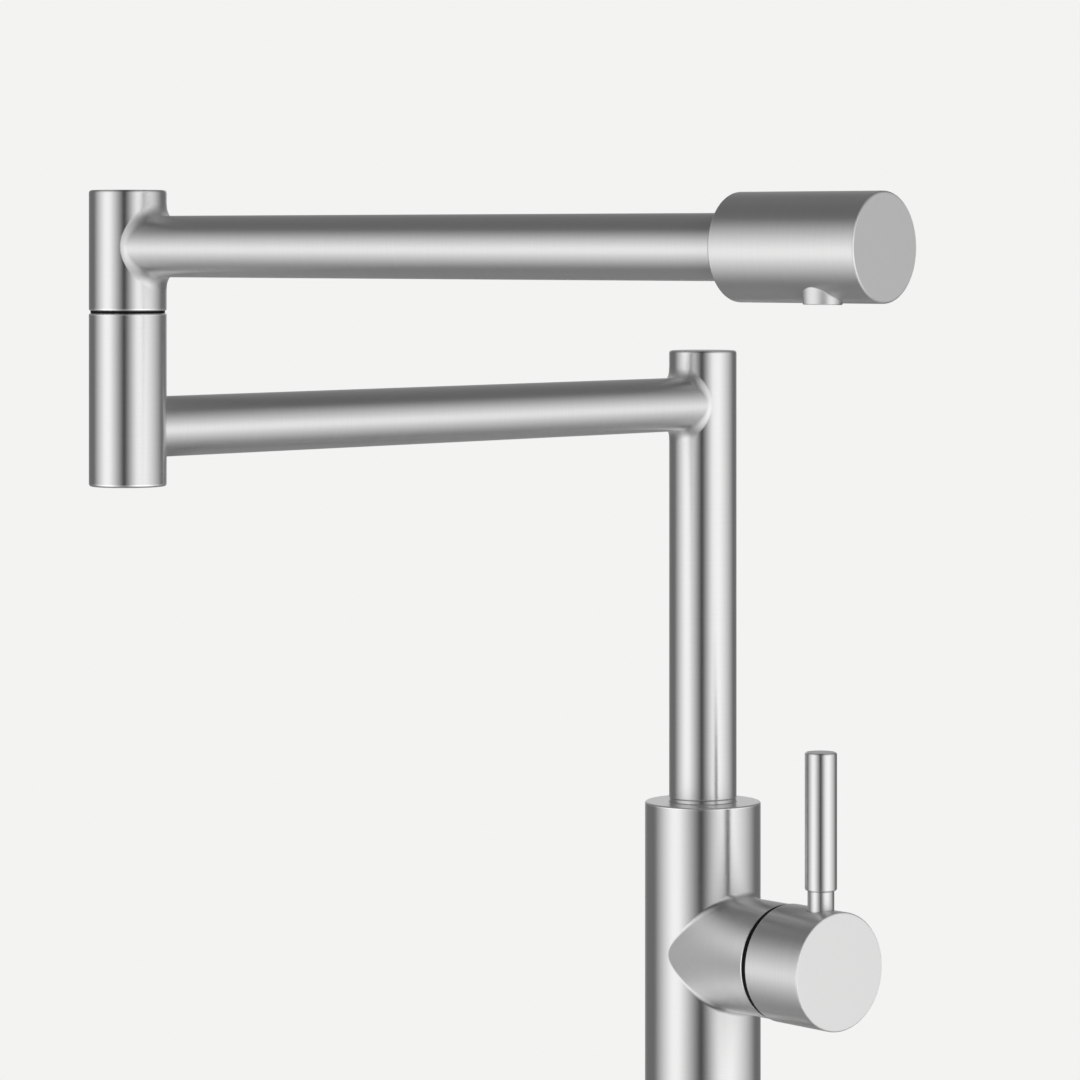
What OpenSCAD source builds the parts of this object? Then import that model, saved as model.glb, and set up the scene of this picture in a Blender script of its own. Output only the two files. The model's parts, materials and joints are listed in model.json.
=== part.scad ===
/* [Body] */
// Height of the body's top above the worktop
body_h = 160; // [130:1:220]
// Diameter of the body tube, and of the lever cap beside it
body_d = 48; // [46:0.5:56]
// Wall of the body tube
body_wall = 3; // [2:0.25:3.5]
// Bevel on the edges of the body and the cap
body_edge = 0.8; // [0.3:0.1:1.2]
// Thickness of the solid head at the body's top
body_head_t = 30; // [28:1:34]

/* [Base and clamp] */
// Diameter of the ring under the body
base_d = 52; // [50:0.5:60]
// Height of the ring under the body
base_t = 5; // [4:0.5:10]
// Thickness of the worktop that is clamped
worktop_t = 30; // [10:1:40]
// Outer diameter of the mounting thread
thread_d = 33; // [31:0.5:34]
// Diameter of the hose way through the mounting thread
hose_way_d = 27; // [26:0.5:28]
// Length of the thread below the worktop
thread_below = 18; // [16:1:40]
// Diameter of the plain lead-in under the thread
pilot_d = 31; // [30:0.5:32]
// Length of the plain lead-in
pilot_len = 14; // [8:1:20]
// Thickness of the rubber clamp washer
clamp_rubber_t = 3; // [2:0.5:5]
// Thickness of the steel clamp washer
clamp_steel_t = 2; // [1.5:0.5:4]
// Diameter of both clamp washers
clamp_d = 52; // [46:1:60]
// Height of the lock nut
nut_t = 10; // [7:1:12]
// Width of the lock nut across its flats
nut_flats = 42; // [40:1:46]

/* [Hub and lever] */
// Depth of the hub's axis below the body's top
hub_drop = 60.7; // [56:0.1:64]
// How far the hub's surface lies inside the body's
hub_step = 0.5; // [0.3:0.1:1.5]
// Wall of the hub
hub_wall = 3; // [2:0.25:3]
// Reach of the hub's end from the body's axis
hub_reach = 49.4; // [48:0.1:60]
// Gap between the hub and the lever cap
cap_gap = 1.6; // [1:0.1:2.5]
// Length of the lever cap
cap_len = 30.6; // [28:0.1:40]
// Place of the lever along the cap, from the cap's inner end
lever_in = 19.8; // [19.5:0.1:22]
// Diameter of the lever rod
lever_d = 13; // [11:0.1:15]
// Length of the lever rod
lever_len = 55.6; // [30:0.1:90]
// Diameter of the neck under the rod
neck_d = 10.8; // [9:0.1:10.8]
// Height of the neck that shows above the cap
neck_show = 7.7; // [3:0.1:15]

/* [Mixing parts] */
// Diameter of the cartridge
cartridge_d = 35; // [33:0.5:36]
// Distance from the hub's end to the cartridge's front
front_in = 12.4; // [11.4:0.1:14]
// Distance from the body's axis to the cartridge's seat
seat_in = 11; // [10.5:0.5:12]
// Diameter of the cartridge's spindle
spindle_d = 12; // [10:0.5:13]
// Bore of the hose inlets
inlet_d = 9.2; // [8:0.1:9.5]
// Depth of the hose inlets
inlet_len = 12; // [8:0.5:14]
// Distance from the body's axis to each hose inlet
inlet_out = 7.5; // [7:0.1:8]

/* [Riser] */
// Outer diameter of the riser and of the elbow posts
stem_d = 28; // [26:0.5:31]
// Wall of the riser and of the elbow posts
stem_wall = 2; // [1.5:0.25:2.5]
// Bevel on the ends of the riser and the posts
stem_edge = 1; // [0.3:0.1:1.2]
// Thickness of the slide ring under the riser
slide_ring_t = 1.6; // [0.8:0.1:4]
// Height from the body's top to the lower arm's axis
riser_rise = 165; // [60:1:400]
// Height of the riser above the lower arm's axis
riser_over = 22; // [18:0.5:40]

/* [Folding arms] */
// Outer diameter of the arm tubes
arm_d = 22; // [18:0.5:23]
// Wall of the arm tubes
arm_wall = 1.5; // [1:0.25:2]
// Radius of the blend between an arm and its post
blend_r = 6; // [2:0.1:7]
// Length of the lower arm between the riser's and the elbow's axes
lower_arm_len = 322; // [150:1:500]
// Reach of the upper arm from the elbow's axis to the head
upper_arm_len = 274; // [120:1:450]
// Angle of the lower arm from straight ahead, towards the lever
swing = 7.8; // [-90:0.1:90]
// Turn of the upper arm at the elbow
elbow_turn = 93.1; // [-170:0.1:170]
// Depth of the elbow's foot below the lower arm's axis
post_under = 21; // [18:0.5:40]
// Height of the elbow's gap above the lower arm's axis
gap_over = 41.8; // [38:0.1:80]
// Width of the elbow's gap
elbow_gap = 0.8; // [0.5:0.1:1.5]
// Height of the upper arm's axis above the elbow's gap
upper_over = 23.6; // [20:0.1:60]
// Height of the upper post above the upper arm's axis
post_over = 20.3; // [18:0.1:40]

/* [Head and outlet] */
// Diameter of the head
head_d = 35.5; // [32:0.5:45]
// Length of the head
head_len = 56.5; // [45:0.5:90]
// Wall of the head
head_wall = 1.5; // [1:0.25:2.5]
// Bevel on the head's ends
head_edge = 0.8; // [0.3:0.1:0.9]
// Diameter of the outlet
outlet_d = 12.5; // [11:0.5:14]
// Distance of the outlet's axis from the head's end face
outlet_in = 19.5; // [14:0.5:25]
// Distance of the outlet's axis to the side of the head's axis
outlet_side = 6.3; // [0:0.1:7]
// Wall of the outlet
outlet_wall = 1.25; // [1:0.05:1.5]

/* [Hidden] */

// Smoothness of round shapes
$fn = 96;
// Overrun of every cut past the face that it opens
cut = 1;
// Radial clearance of parts that turn on each other
turn_fit = 0.05;
// Radial clearance of parts that stay put
seat_fit = 0.1;

// Colours of the finishes
steel = [0.74, 0.74, 0.74];
bright_steel = [0.85, 0.85, 0.84];
brass = [0.80, 0.66, 0.36];
dark_plastic = [0.07, 0.07, 0.07];
pale_plastic = [0.90, 0.90, 0.88];
grey_plastic = [0.45, 0.46, 0.48];
rubber = [0.05, 0.05, 0.05];
ceramic = [0.93, 0.92, 0.89];

// Body and base, worked out from the driving sizes
body_r = body_d / 2;
body_bore_r = body_r - body_wall;
ledge_z = body_h - body_head_t;
gasket_t = 1.5;
gasket_wall = 7;
gasket_stand = 0.4;
gasket_play = 0.2;
gasket_r = body_r + gasket_stand;
shank_flange_t = 12;
shank_r = thread_d / 2;
hose_way_r = hose_way_d / 2;
shank_play = 0.5;
thread_end_z = -worktop_t - thread_below;
pilot_end_z = thread_end_z - pilot_len;
clamp_hole_r = shank_r + shank_play;

// Hub, cap and lever
hub_r = body_r - hub_step;
hub_bore_r = hub_r - hub_wall;
hub_z = body_h - hub_drop;
cap_r = body_r;
cap_x = hub_reach + cap_gap;
cap_wall = 3;
cap_hollow = 13;
cap_boss_r = 12;
lever_x = cap_x + lever_in;
lever_edge = 0.8;
neck_sink = 2;
neck_edge = 0.4;
stud_r = 4;
stud_len = 10;
rod_stud_r = 3;
rod_stud_len = 10;
lever_foot_z = hub_z + cap_r + neck_show;
guide_lip = 2.6;
guide_sleeve = 6;
guide_wall = 1.6;
cap_screw_r = 2.5;
cap_screw_len = 5.8;
cap_screw_in = 7;
hex_key_r = 1.4;
hex_key_len = 3;

// Cartridge and the block that holds it
cartridge_r = cartridge_d / 2;
cartridge_base = 3;
cartridge_wall = 3.5;
disc_play = 0.2;
moving_disc_in = 0.8;
spindle_r = spindle_d / 2;
spindle_flange_in = 1.5;
spindle_socket = 15;
port_r = 2.8;
port_seal_r = 4;
port_seal_t = 1.5;
inlet_port_drop = 5;
outlet_port_lift = 8;
disc_share = 0.15;
front_share = 0.3;
cartridge_x = seat_in;
cartridge_len = hub_reach - front_in - cartridge_x;
cartridge_front = cartridge_len * front_share;
disc_t = cartridge_len * disc_share;
spindle_flange_t = disc_t;
cartridge_end_x = cartridge_x + cartridge_len;
block_end_x = cartridge_x + cartridge_len / 2;
cartridge_nut_t = 4;
cartridge_nut_hole_r = spindle_r + cartridge_base;
block_drop = 33;
block_r = body_bore_r - seat_fit;
block_foot_z = hub_z - block_drop;
block_rise_r = 5;
inlet_way_r = 3.4;
spindle_end_x = cap_x + spindle_socket;

// Riser, its spigot and its bearing
stem_r = stem_d / 2;
stem_bore_r = stem_r - stem_wall;
riser_foot_z = body_h + slide_ring_t;
arm_z = body_h + riser_rise;
riser_top_z = arm_z + riser_over;
spigot_step = 1;
spigot_r = stem_bore_r - spigot_step;
spigot_wall = 3;
spigot_plug_len = 24;
neck_step = 2;
seal_r = spigot_r - neck_step;
bush_seat_t = 7;
bush_foot_z = ledge_z + bush_seat_t;
socket_len = 18;
socket_play = 2;
seal_foot_z = ledge_z - socket_len + socket_play;
o_ring_t = 1.5;
groove_w = 2;
groove_pitch = 5;
groove_first = 3;
keeper_groove = 1;
keeper_groove_w = 4.6;
screw_r = 2;
screw_play = 0.2;
riser_screw_drop = 10;
cap_t = 3;
hidden_side = 140;

// Arms and elbow
lower_heading = swing - 90;
arm_r = arm_d / 2;
arm_bore_r = arm_r - arm_wall;
stub_end = stem_r + blend_r + stem_wall;
gap_z = arm_z + gap_over;
post_foot_z = arm_z - post_under;
lower_post_top_z = gap_z - elbow_gap / 2;
upper_post_foot_z = gap_z + elbow_gap / 2;
upper_z = gap_z + upper_over;
post_top_z = upper_z + post_over;
elbow_pin_len = 31;
elbow_plug_len = 8;
elbow_spigot_r = stem_bore_r - spigot_wall;
elbow_bore_r = elbow_spigot_r - spigot_wall;
elbow_foot_z = lower_post_top_z - elbow_pin_len;
elbow_bush_over = 1;
elbow_screw_drop = 8;
elbow_screw_side = 155;
washer_in = 0.6;

// Head and outlet, in the upper arm's own direction
head_r = head_d / 2;
head_back_t = 3;
head_end_x = upper_arm_len + head_len;
arm_in_head = 8;
outlet_x = head_end_x - outlet_in;
outlet_r = outlet_d / 2;
outlet_bore_r = outlet_r - outlet_wall;
outlet_show = 0.3;
outlet_foot_z = upper_z - head_r - outlet_show;
outlet_top_len = 9;
insert_up = 0.5;
insert_t = 6;
insert_hole_r = 0.8;
insert_ring_r = 2.9;
insert_holes = 8;
outlet_seal_t = 1.5;
outlet_lip = 1;

// Steps of the blend round the arm and across its section
blend_turns = 48;
blend_steps = 6;
blend_sink = 0.6;
blend_skim = 0.05;

// General shapes

// A turned bar standing on the origin, with a bevel at its foot and its top
module bar(r, h, low = 0, high = 0) {
    foot = low > 0 ? [[r - low, 0], [r, low]] : [[r, 0]];
    top = high > 0 ? [[r, h - high], [r - high, h]] : [[r, h]];
    rotate_extrude() polygon(concat([[0, 0]], foot, top, [[0, h]]));
}

// A turned ring or pipe standing on the origin
module pipe(r, bore, h, low = 0, high = 0) {
    difference() {
        bar(r, h, low, high);
        translate([0, 0, -cut]) cylinder(r = bore, h = h + 2 * cut);
    }
}

// An O-ring round the origin whose outside has radius r
module o_ring(r, t) {
    rotate_extrude() translate([r - t / 2, 0]) circle(r = t / 2, $fn = 32);
}

// A groove of a given width and floor radius, cut from a bar of radius r
module groove(r, floor_r, w) {
    pipe(r + cut, floor_r, w);
}

// A socket screw lying along +X, with its tip at the origin
module grub_screw(r, len) {
    rotate([0, 90, 0]) difference() {
        cylinder(r = r, h = len);
        translate([0, 0, len - hex_key_len]) cylinder(r = hex_key_r, h = hex_key_len + cut, $fn = 6);
    }
}

// Centre of the ball that rolls between an upright post and an arm along +X
function ball(a, post_r, pipe_r, f) = [
    sqrt(pow(post_r + f, 2) - pow((pipe_r + f) * sin(a), 2)),
    (pipe_r + f) * sin(a),
    (pipe_r + f) * cos(a)
];

function unit(v) = v / norm(v);

// One section of the blend: the ball's arc, and three points inside the walls
function blend_section(a, post_r, pipe_r, f) = let (
    c = ball(a, post_r, pipe_r, f),
    to_pipe = [0, -sin(a), -cos(a)],
    to_post = unit([-c.x, -c.y, 0]),
    deep_r = pipe_r - blend_sink,
    deep_x = sqrt(pow(post_r - blend_sink, 2) - pow(deep_r * sin(a), 2))
) concat(
    [for (k = [0 : blend_steps])
        c + (f + (k == 0 || k == blend_steps ? blend_skim : 0))
            * unit((blend_steps - k) * to_pipe + k * to_post)],
    [c + (f + blend_sink) * to_post],
    [[deep_x, deep_r * sin(a), deep_r * cos(a)]],
    [c + (f + blend_sink) * to_pipe]
);

// The blend between an upright post and an arm along +X, as one closed collar
module blend(post_r, pipe_r, f) {
    n = blend_turns;
    m = blend_steps + 4;
    points = [for (i = [0 : n - 1]) each blend_section(360 * i / n, post_r, pipe_r, f)];
    faces = [for (i = [0 : n - 1], k = [0 : m - 1]) let (
        a = i * m + k,
        b = ((i + 1) % n) * m + k,
        c = ((i + 1) % n) * m + (k + 1) % m,
        d = i * m + (k + 1) % m
    ) each [[a, c, b], [a, d, c]]];
    polyhedron(points, faces);
}

// Places

module at_hub() {
    translate([0, 0, hub_z]) rotate([0, 90, 0]) children();
}

module at_lower_arm() {
    rotate([0, 0, lower_heading]) translate([0, 0, arm_z]) children();
}

module at_elbow() {
    rotate([0, 0, lower_heading]) translate([lower_arm_len, 0, 0]) children();
}

module at_upper_arm() {
    at_elbow() rotate([0, 0, elbow_turn]) children();
}

module at_outlet() {
    at_upper_arm() translate([outlet_x, -outlet_side, outlet_foot_z]) children();
}

// Base and clamp

module base_ring() {
    color(steel) difference() {
        translate([0, 0, gasket_stand]) bar(base_d / 2, base_t - gasket_stand, 0, body_edge);
        translate([0, 0, -cut]) cylinder(r = shank_r + seat_fit, h = base_t + 2 * cut);
        translate([0, 0, -cut])
            pipe(gasket_r + gasket_play, gasket_r - gasket_wall - gasket_play, gasket_t + cut);
    }
}

module deck_gasket() {
    color(rubber) pipe(gasket_r, gasket_r - gasket_wall, gasket_t);
}

module mounting_shank() {
    color(brass) difference() {
        union() {
            translate([0, 0, base_t]) cylinder(r = block_r, h = shank_flange_t);
            translate([0, 0, thread_end_z]) cylinder(r = shank_r, h = base_t + cut - thread_end_z);
            translate([0, 0, pilot_end_z]) cylinder(r = pilot_d / 2, h = pilot_len + cut);
        }
        translate([0, 0, pilot_end_z - cut])
            cylinder(r = hose_way_r, h = base_t + shank_flange_t - pilot_end_z + 2 * cut);
    }
}

module clamp_gasket() {
    color(rubber) translate([0, 0, -worktop_t - clamp_rubber_t])
        pipe(clamp_d / 2, clamp_hole_r, clamp_rubber_t);
}

module clamp_washer() {
    color(bright_steel) translate([0, 0, -worktop_t - clamp_rubber_t - clamp_steel_t])
        pipe(clamp_d / 2, clamp_hole_r, clamp_steel_t);
}

module lock_nut() {
    foot_z = -worktop_t - clamp_rubber_t - clamp_steel_t - nut_t;
    color(brass) translate([0, 0, foot_z]) difference() {
        cylinder(r = nut_flats / sqrt(3), h = nut_t, $fn = 6);
        translate([0, 0, -cut]) cylinder(r = shank_r + seat_fit, h = nut_t + 2 * cut);
    }
}

// Body

module body_shell() {
    head_bore_r = stem_r + seat_fit;
    color(steel) difference() {
        union() {
            translate([0, 0, base_t]) bar(body_r, body_h - base_t, 0, body_edge);
            at_hub() bar(hub_r, hub_reach, 0, body_edge);
        }
        translate([0, 0, base_t - cut]) cylinder(r = body_bore_r, h = ledge_z - base_t + cut);
        at_hub() cylinder(r = hub_bore_r, h = hub_reach + cut);
        translate([0, 0, ledge_z - cut]) cylinder(r = stem_bore_r, h = bush_seat_t + 2 * cut);
        translate([0, 0, bush_foot_z]) cylinder(r = head_bore_r, h = body_h - bush_foot_z + cut);
        rotate([0, 0, hidden_side]) translate([0, 0, body_h - riser_screw_drop]) rotate([0, 90, 0])
            cylinder(r = screw_r + screw_play, h = body_r + cut);
    }
}

module mixing_block() {
    inlet_port_z = hub_z - inlet_port_drop;
    outlet_port_z = hub_z + outlet_port_lift;
    socket_foot_z = ledge_z - socket_len;
    color(brass) difference() {
        union() {
            translate([0, 0, block_foot_z]) cylinder(r = block_r, h = ledge_z - block_foot_z);
            at_hub() cylinder(r = hub_bore_r - seat_fit, h = block_end_x);
        }
        at_hub() translate([0, 0, cartridge_x])
            cylinder(r = cartridge_r + seat_fit, h = block_end_x - cartridge_x + cut);
        at_hub() translate([0, 0, block_end_x]) cylinder(r = hub_r, h = hub_reach);
        for (side = [-1, 1]) {
            translate([0, side * inlet_out, block_foot_z - cut])
                cylinder(r = inlet_d / 2, h = inlet_len + cut);
            translate([0, side * inlet_out, block_foot_z])
                cylinder(r = inlet_way_r, h = inlet_port_z + inlet_way_r - block_foot_z);
            translate([0, side * inlet_out, inlet_port_z]) rotate([0, 90, 0])
                cylinder(r = port_r, h = cartridge_x + cut);
        }
        translate([0, 0, outlet_port_z]) rotate([0, 90, 0]) cylinder(r = port_r, h = cartridge_x + cut);
        translate([0, 0, outlet_port_z - block_rise_r])
            cylinder(r = block_rise_r, h = socket_foot_z + block_rise_r + cut - outlet_port_z);
        translate([0, 0, socket_foot_z]) cylinder(r = seal_r + turn_fit, h = socket_len + cut);
    }
}

// Cartridge

module at_ports() {
    for (side = [-1, 1]) at_hub() translate([inlet_port_drop, side * inlet_out, 0]) children();
    at_hub() translate([-outlet_port_lift, 0, 0]) children();
}

module cartridge_body() {
    hollow_r = cartridge_r - cartridge_wall;
    color(grey_plastic) difference() {
        at_hub() translate([0, 0, cartridge_x]) cylinder(r = cartridge_r, h = cartridge_len);
        at_hub() translate([0, 0, cartridge_x + cartridge_base])
            cylinder(r = hollow_r, h = cartridge_len - cartridge_base - cartridge_front);
        at_hub() translate([0, 0, cartridge_x + cartridge_base])
            cylinder(r = spindle_r + turn_fit, h = cartridge_len);
        at_ports() translate([0, 0, cartridge_x - cut]) cylinder(r = port_r, h = cartridge_base + 2 * cut);
        at_ports() translate([0, 0, cartridge_x - cut]) cylinder(r = port_seal_r, h = port_seal_t + cut);
    }
}

module cartridge_seals() {
    color(rubber) at_ports() translate([0, 0, cartridge_x]) pipe(port_seal_r, port_r, port_seal_t);
}

module ceramic_disc_fixed() {
    disc_r = cartridge_r - cartridge_wall - disc_play;
    color(ceramic) difference() {
        at_hub() translate([0, 0, cartridge_x + cartridge_base]) cylinder(r = disc_r, h = disc_t);
        at_ports() translate([0, 0, cartridge_x]) cylinder(r = port_r, h = cartridge_base + disc_t + cut);
    }
}

module ceramic_disc_moving() {
    disc_r = cartridge_r - cartridge_wall - moving_disc_in;
    color(ceramic) at_hub() translate([0, 0, cartridge_x + cartridge_base + disc_t]) difference() {
        cylinder(r = disc_r, h = disc_t);
        translate([0, 0, -cut]) cylinder(r = disc_r - cartridge_wall, h = disc_t / 2 + cut);
    }
}

module cartridge_spindle() {
    foot_x = cartridge_x + cartridge_base + 2 * disc_t;
    flange_r = cartridge_r - cartridge_wall - spindle_flange_in;
    color(brass) at_hub() {
        translate([0, 0, foot_x]) cylinder(r = flange_r, h = spindle_flange_t);
        translate([0, 0, foot_x]) bar(spindle_r, spindle_end_x - foot_x, 0, body_edge);
    }
}

module cartridge_nut() {
    color(brass) at_hub() translate([0, 0, block_end_x]) difference() {
        cylinder(r = hub_bore_r - seat_fit, h = cartridge_end_x + cartridge_nut_t - block_end_x);
        translate([0, 0, -cut]) cylinder(r = cartridge_r + seat_fit, h = cartridge_end_x - block_end_x + cut);
        cylinder(r = cartridge_nut_hole_r, h = cartridge_end_x + cartridge_nut_t);
    }
}

module hub_guide_ring() {
    sleeve_r = hub_bore_r - seat_fit;
    color(dark_plastic) at_hub() {
        translate([0, 0, hub_reach - guide_sleeve])
            pipe(sleeve_r, sleeve_r - guide_wall, guide_sleeve + cap_gap / 2);
        translate([0, 0, hub_reach]) pipe(hub_bore_r + guide_lip, sleeve_r - guide_wall, cap_gap - seat_fit);
    }
}

// Lever

module lever_cap() {
    color(steel) difference() {
        at_hub() translate([0, 0, cap_x]) bar(cap_r, cap_len, body_edge, body_edge);
        at_hub() translate([0, 0, cap_x - cut]) pipe(cap_r - cap_wall, cap_boss_r, cap_hollow + cut);
        at_hub() translate([0, 0, cap_x - cut]) cylinder(r = spindle_r + turn_fit, h = spindle_socket + cut);
        translate([cap_x + cap_screw_in, 0, hub_z - cap_r - cut])
            cylinder(r = cap_screw_r + turn_fit, h = cap_r);
        translate([lever_x, 0, hub_z + cap_r - neck_sink])
            cylinder(r = neck_d / 2 + turn_fit, h = neck_sink + cut);
        translate([lever_x, 0, hub_z + cap_r - neck_sink - stud_len])
            cylinder(r = stud_r + turn_fit, h = stud_len + cut);
    }
}

module cap_set_screw() {
    color(bright_steel) translate([cap_x + cap_screw_in, 0, hub_z - spindle_r]) rotate([0, 90, 0])
        grub_screw(cap_screw_r, cap_screw_len);
}

module lever_neck() {
    foot_z = hub_z + cap_r - neck_sink;
    color(steel) translate([lever_x, 0, foot_z]) {
        bar(neck_d / 2, neck_sink + neck_show, neck_edge, neck_edge);
        translate([0, 0, -stud_len]) cylinder(r = stud_r, h = stud_len + neck_sink);
        translate([0, 0, neck_sink]) cylinder(r = rod_stud_r, h = neck_show + rod_stud_len);
    }
}

module lever_rod() {
    color(steel) translate([lever_x, 0, lever_foot_z]) difference() {
        bar(lever_d / 2, lever_len, lever_edge, lever_edge);
        translate([0, 0, -cut]) cylinder(r = rod_stud_r + turn_fit, h = rod_stud_len + cut);
    }
}

// Riser and its bearing

module riser_bush() {
    color(pale_plastic) difference() {
        translate([0, 0, bush_foot_z]) pipe(stem_r, spigot_r + turn_fit, body_h - bush_foot_z);
        rotate([0, 0, hidden_side]) translate([0, 0, body_h - riser_screw_drop]) rotate([0, 90, 0])
            cylinder(r = screw_r + screw_play, h = body_r);
    }
}

module riser_slide_ring() {
    color(steel) translate([0, 0, body_h]) pipe(stem_r - seat_fit, spigot_r + turn_fit, slide_ring_t);
}

module riser_spigot() {
    color(brass) difference() {
        union() {
            translate([0, 0, riser_foot_z]) cylinder(r = stem_bore_r, h = spigot_plug_len);
            translate([0, 0, bush_foot_z]) cylinder(r = spigot_r, h = riser_foot_z - bush_foot_z + cut);
            translate([0, 0, seal_foot_z]) cylinder(r = seal_r, h = bush_foot_z - seal_foot_z + cut);
        }
        translate([0, 0, seal_foot_z - cut])
            cylinder(r = seal_r - spigot_wall, h = riser_foot_z + spigot_plug_len - seal_foot_z + 2 * cut);
        for (k = [0, 1]) translate([0, 0, seal_foot_z + groove_first + k * groove_pitch])
            groove(seal_r, seal_r - o_ring_t, groove_w);
        translate([0, 0, body_h - riser_screw_drop - keeper_groove_w / 2])
            groove(spigot_r, spigot_r - keeper_groove, keeper_groove_w);
    }
}

module riser_o_rings() {
    color(rubber) for (k = [0, 1])
        translate([0, 0, seal_foot_z + groove_first + k * groove_pitch + groove_w / 2])
        o_ring(seal_r, o_ring_t);
}

module riser_set_screw() {
    tip_r = spigot_r - keeper_groove / 2;
    color(bright_steel) rotate([0, 0, hidden_side]) translate([tip_r, 0, body_h - riser_screw_drop])
        grub_screw(screw_r, body_r - body_edge - tip_r);
}

module riser_tube() {
    color(steel) difference() {
        union() {
            translate([0, 0, riser_foot_z]) bar(stem_r, riser_top_z - riser_foot_z, 0, stem_edge);
            at_lower_arm() rotate([0, 90, 0]) cylinder(r = arm_r, h = stub_end);
            at_lower_arm() blend(stem_r, arm_r, blend_r);
        }
        translate([0, 0, riser_foot_z - cut])
            cylinder(r = stem_bore_r, h = riser_top_z - riser_foot_z + 2 * cut);
        at_lower_arm() rotate([0, 90, 0]) cylinder(r = arm_bore_r, h = stub_end + cut);
    }
}

module riser_cap() {
    color(steel) translate([0, 0, riser_top_z - cap_t]) cylinder(r = stem_bore_r, h = cap_t);
}

// Lower arm and the elbow's lower half

module lower_arm_tube() {
    color(steel) difference() {
        at_lower_arm() translate([stub_end, 0, 0]) rotate([0, 90, 0])
            pipe(arm_r, arm_bore_r, lower_arm_len - stub_end);
        at_elbow() translate([0, 0, post_foot_z]) cylinder(r = stem_r, h = gap_over + post_under);
    }
}

module lower_post() {
    color(steel) difference() {
        at_elbow() translate([0, 0, post_foot_z])
            bar(stem_r, lower_post_top_z - post_foot_z, stem_edge, body_edge);
        at_elbow() translate([0, 0, post_foot_z - cut])
            cylinder(r = stem_bore_r, h = lower_post_top_z - post_foot_z + 2 * cut);
        at_lower_arm() rotate([0, 90, 0]) cylinder(r = arm_bore_r, h = lower_arm_len);
        at_elbow() rotate([0, 0, elbow_screw_side]) translate([0, 0, lower_post_top_z - elbow_screw_drop])
            rotate([0, 90, 0]) cylinder(r = screw_r + screw_play, h = stem_r + cut);
    }
}

module lower_post_cap() {
    color(steel) at_elbow() translate([0, 0, post_foot_z]) cylinder(r = stem_bore_r, h = cap_t);
}

module elbow_bush() {
    bush_len = elbow_pin_len - elbow_bush_over;
    color(pale_plastic) at_elbow() difference() {
        translate([0, 0, lower_post_top_z - bush_len]) pipe(stem_bore_r, elbow_spigot_r + turn_fit, bush_len);
        rotate([0, 0, elbow_screw_side]) translate([0, 0, lower_post_top_z - elbow_screw_drop])
            rotate([0, 90, 0]) cylinder(r = screw_r + screw_play, h = stem_r);
    }
}

module elbow_washer() {
    color(dark_plastic) at_elbow() translate([0, 0, lower_post_top_z])
        pipe(stem_r - washer_in, elbow_spigot_r + turn_fit, elbow_gap);
}

module elbow_set_screw() {
    tip_r = elbow_spigot_r - keeper_groove / 2;
    color(bright_steel) at_elbow() rotate([0, 0, elbow_screw_side])
        translate([tip_r, 0, lower_post_top_z - elbow_screw_drop])
        grub_screw(screw_r, stem_r - stem_edge / 2 - tip_r);
}

// Elbow's upper half and the upper arm

module elbow_spigot() {
    color(brass) at_elbow() difference() {
        union() {
            translate([0, 0, upper_post_foot_z]) cylinder(r = stem_bore_r, h = elbow_plug_len);
            translate([0, 0, elbow_foot_z])
                cylinder(r = elbow_spigot_r, h = upper_post_foot_z - elbow_foot_z + cut);
        }
        translate([0, 0, elbow_foot_z - cut])
            cylinder(r = elbow_bore_r, h = upper_post_foot_z + elbow_plug_len - elbow_foot_z + 2 * cut);
        for (k = [0, 1]) translate([0, 0, elbow_foot_z + groove_first + k * groove_pitch])
            groove(elbow_spigot_r, elbow_spigot_r - o_ring_t, groove_w);
        translate([0, 0, lower_post_top_z - elbow_screw_drop - keeper_groove_w / 2])
            groove(elbow_spigot_r, elbow_spigot_r - keeper_groove, keeper_groove_w);
    }
}

module elbow_o_rings() {
    color(rubber) at_elbow() for (k = [0, 1])
        translate([0, 0, elbow_foot_z + groove_first + k * groove_pitch + groove_w / 2])
        o_ring(elbow_spigot_r, o_ring_t);
}

module upper_post() {
    color(steel) at_upper_arm() difference() {
        union() {
            translate([0, 0, upper_post_foot_z])
                bar(stem_r, post_top_z - upper_post_foot_z, body_edge, stem_edge);
            translate([0, 0, upper_z]) rotate([0, 90, 0]) cylinder(r = arm_r, h = stub_end);
            translate([0, 0, upper_z]) blend(stem_r, arm_r, blend_r);
        }
        translate([0, 0, upper_post_foot_z - cut])
            cylinder(r = stem_bore_r, h = post_top_z - upper_post_foot_z + 2 * cut);
        translate([0, 0, upper_z]) rotate([0, 90, 0]) cylinder(r = arm_bore_r, h = stub_end + cut);
    }
}

module upper_post_cap() {
    color(steel) at_upper_arm() translate([0, 0, post_top_z - cap_t]) cylinder(r = stem_bore_r, h = cap_t);
}

module upper_arm_tube() {
    color(steel) at_upper_arm() translate([stub_end, 0, upper_z]) rotate([0, 90, 0])
        pipe(arm_r, arm_bore_r, upper_arm_len + arm_in_head - stub_end);
}

// Head and outlet

module head_shell() {
    color(steel) difference() {
        at_upper_arm() translate([upper_arm_len, 0, upper_z]) rotate([0, 90, 0]) difference() {
            bar(head_r, head_len, head_edge, head_edge);
            translate([0, 0, -cut]) cylinder(r = arm_r + turn_fit, h = head_len);
            translate([0, 0, head_back_t]) cylinder(r = head_r - head_wall, h = head_len);
        }
        at_outlet() translate([0, 0, -cut]) cylinder(r = outlet_r, h = head_r);
    }
}

module head_end_cap() {
    color(steel) at_upper_arm() translate([head_end_x - cap_t, 0, upper_z]) rotate([0, 90, 0])
        cylinder(r = head_r - head_wall, h = cap_t);
}

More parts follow.
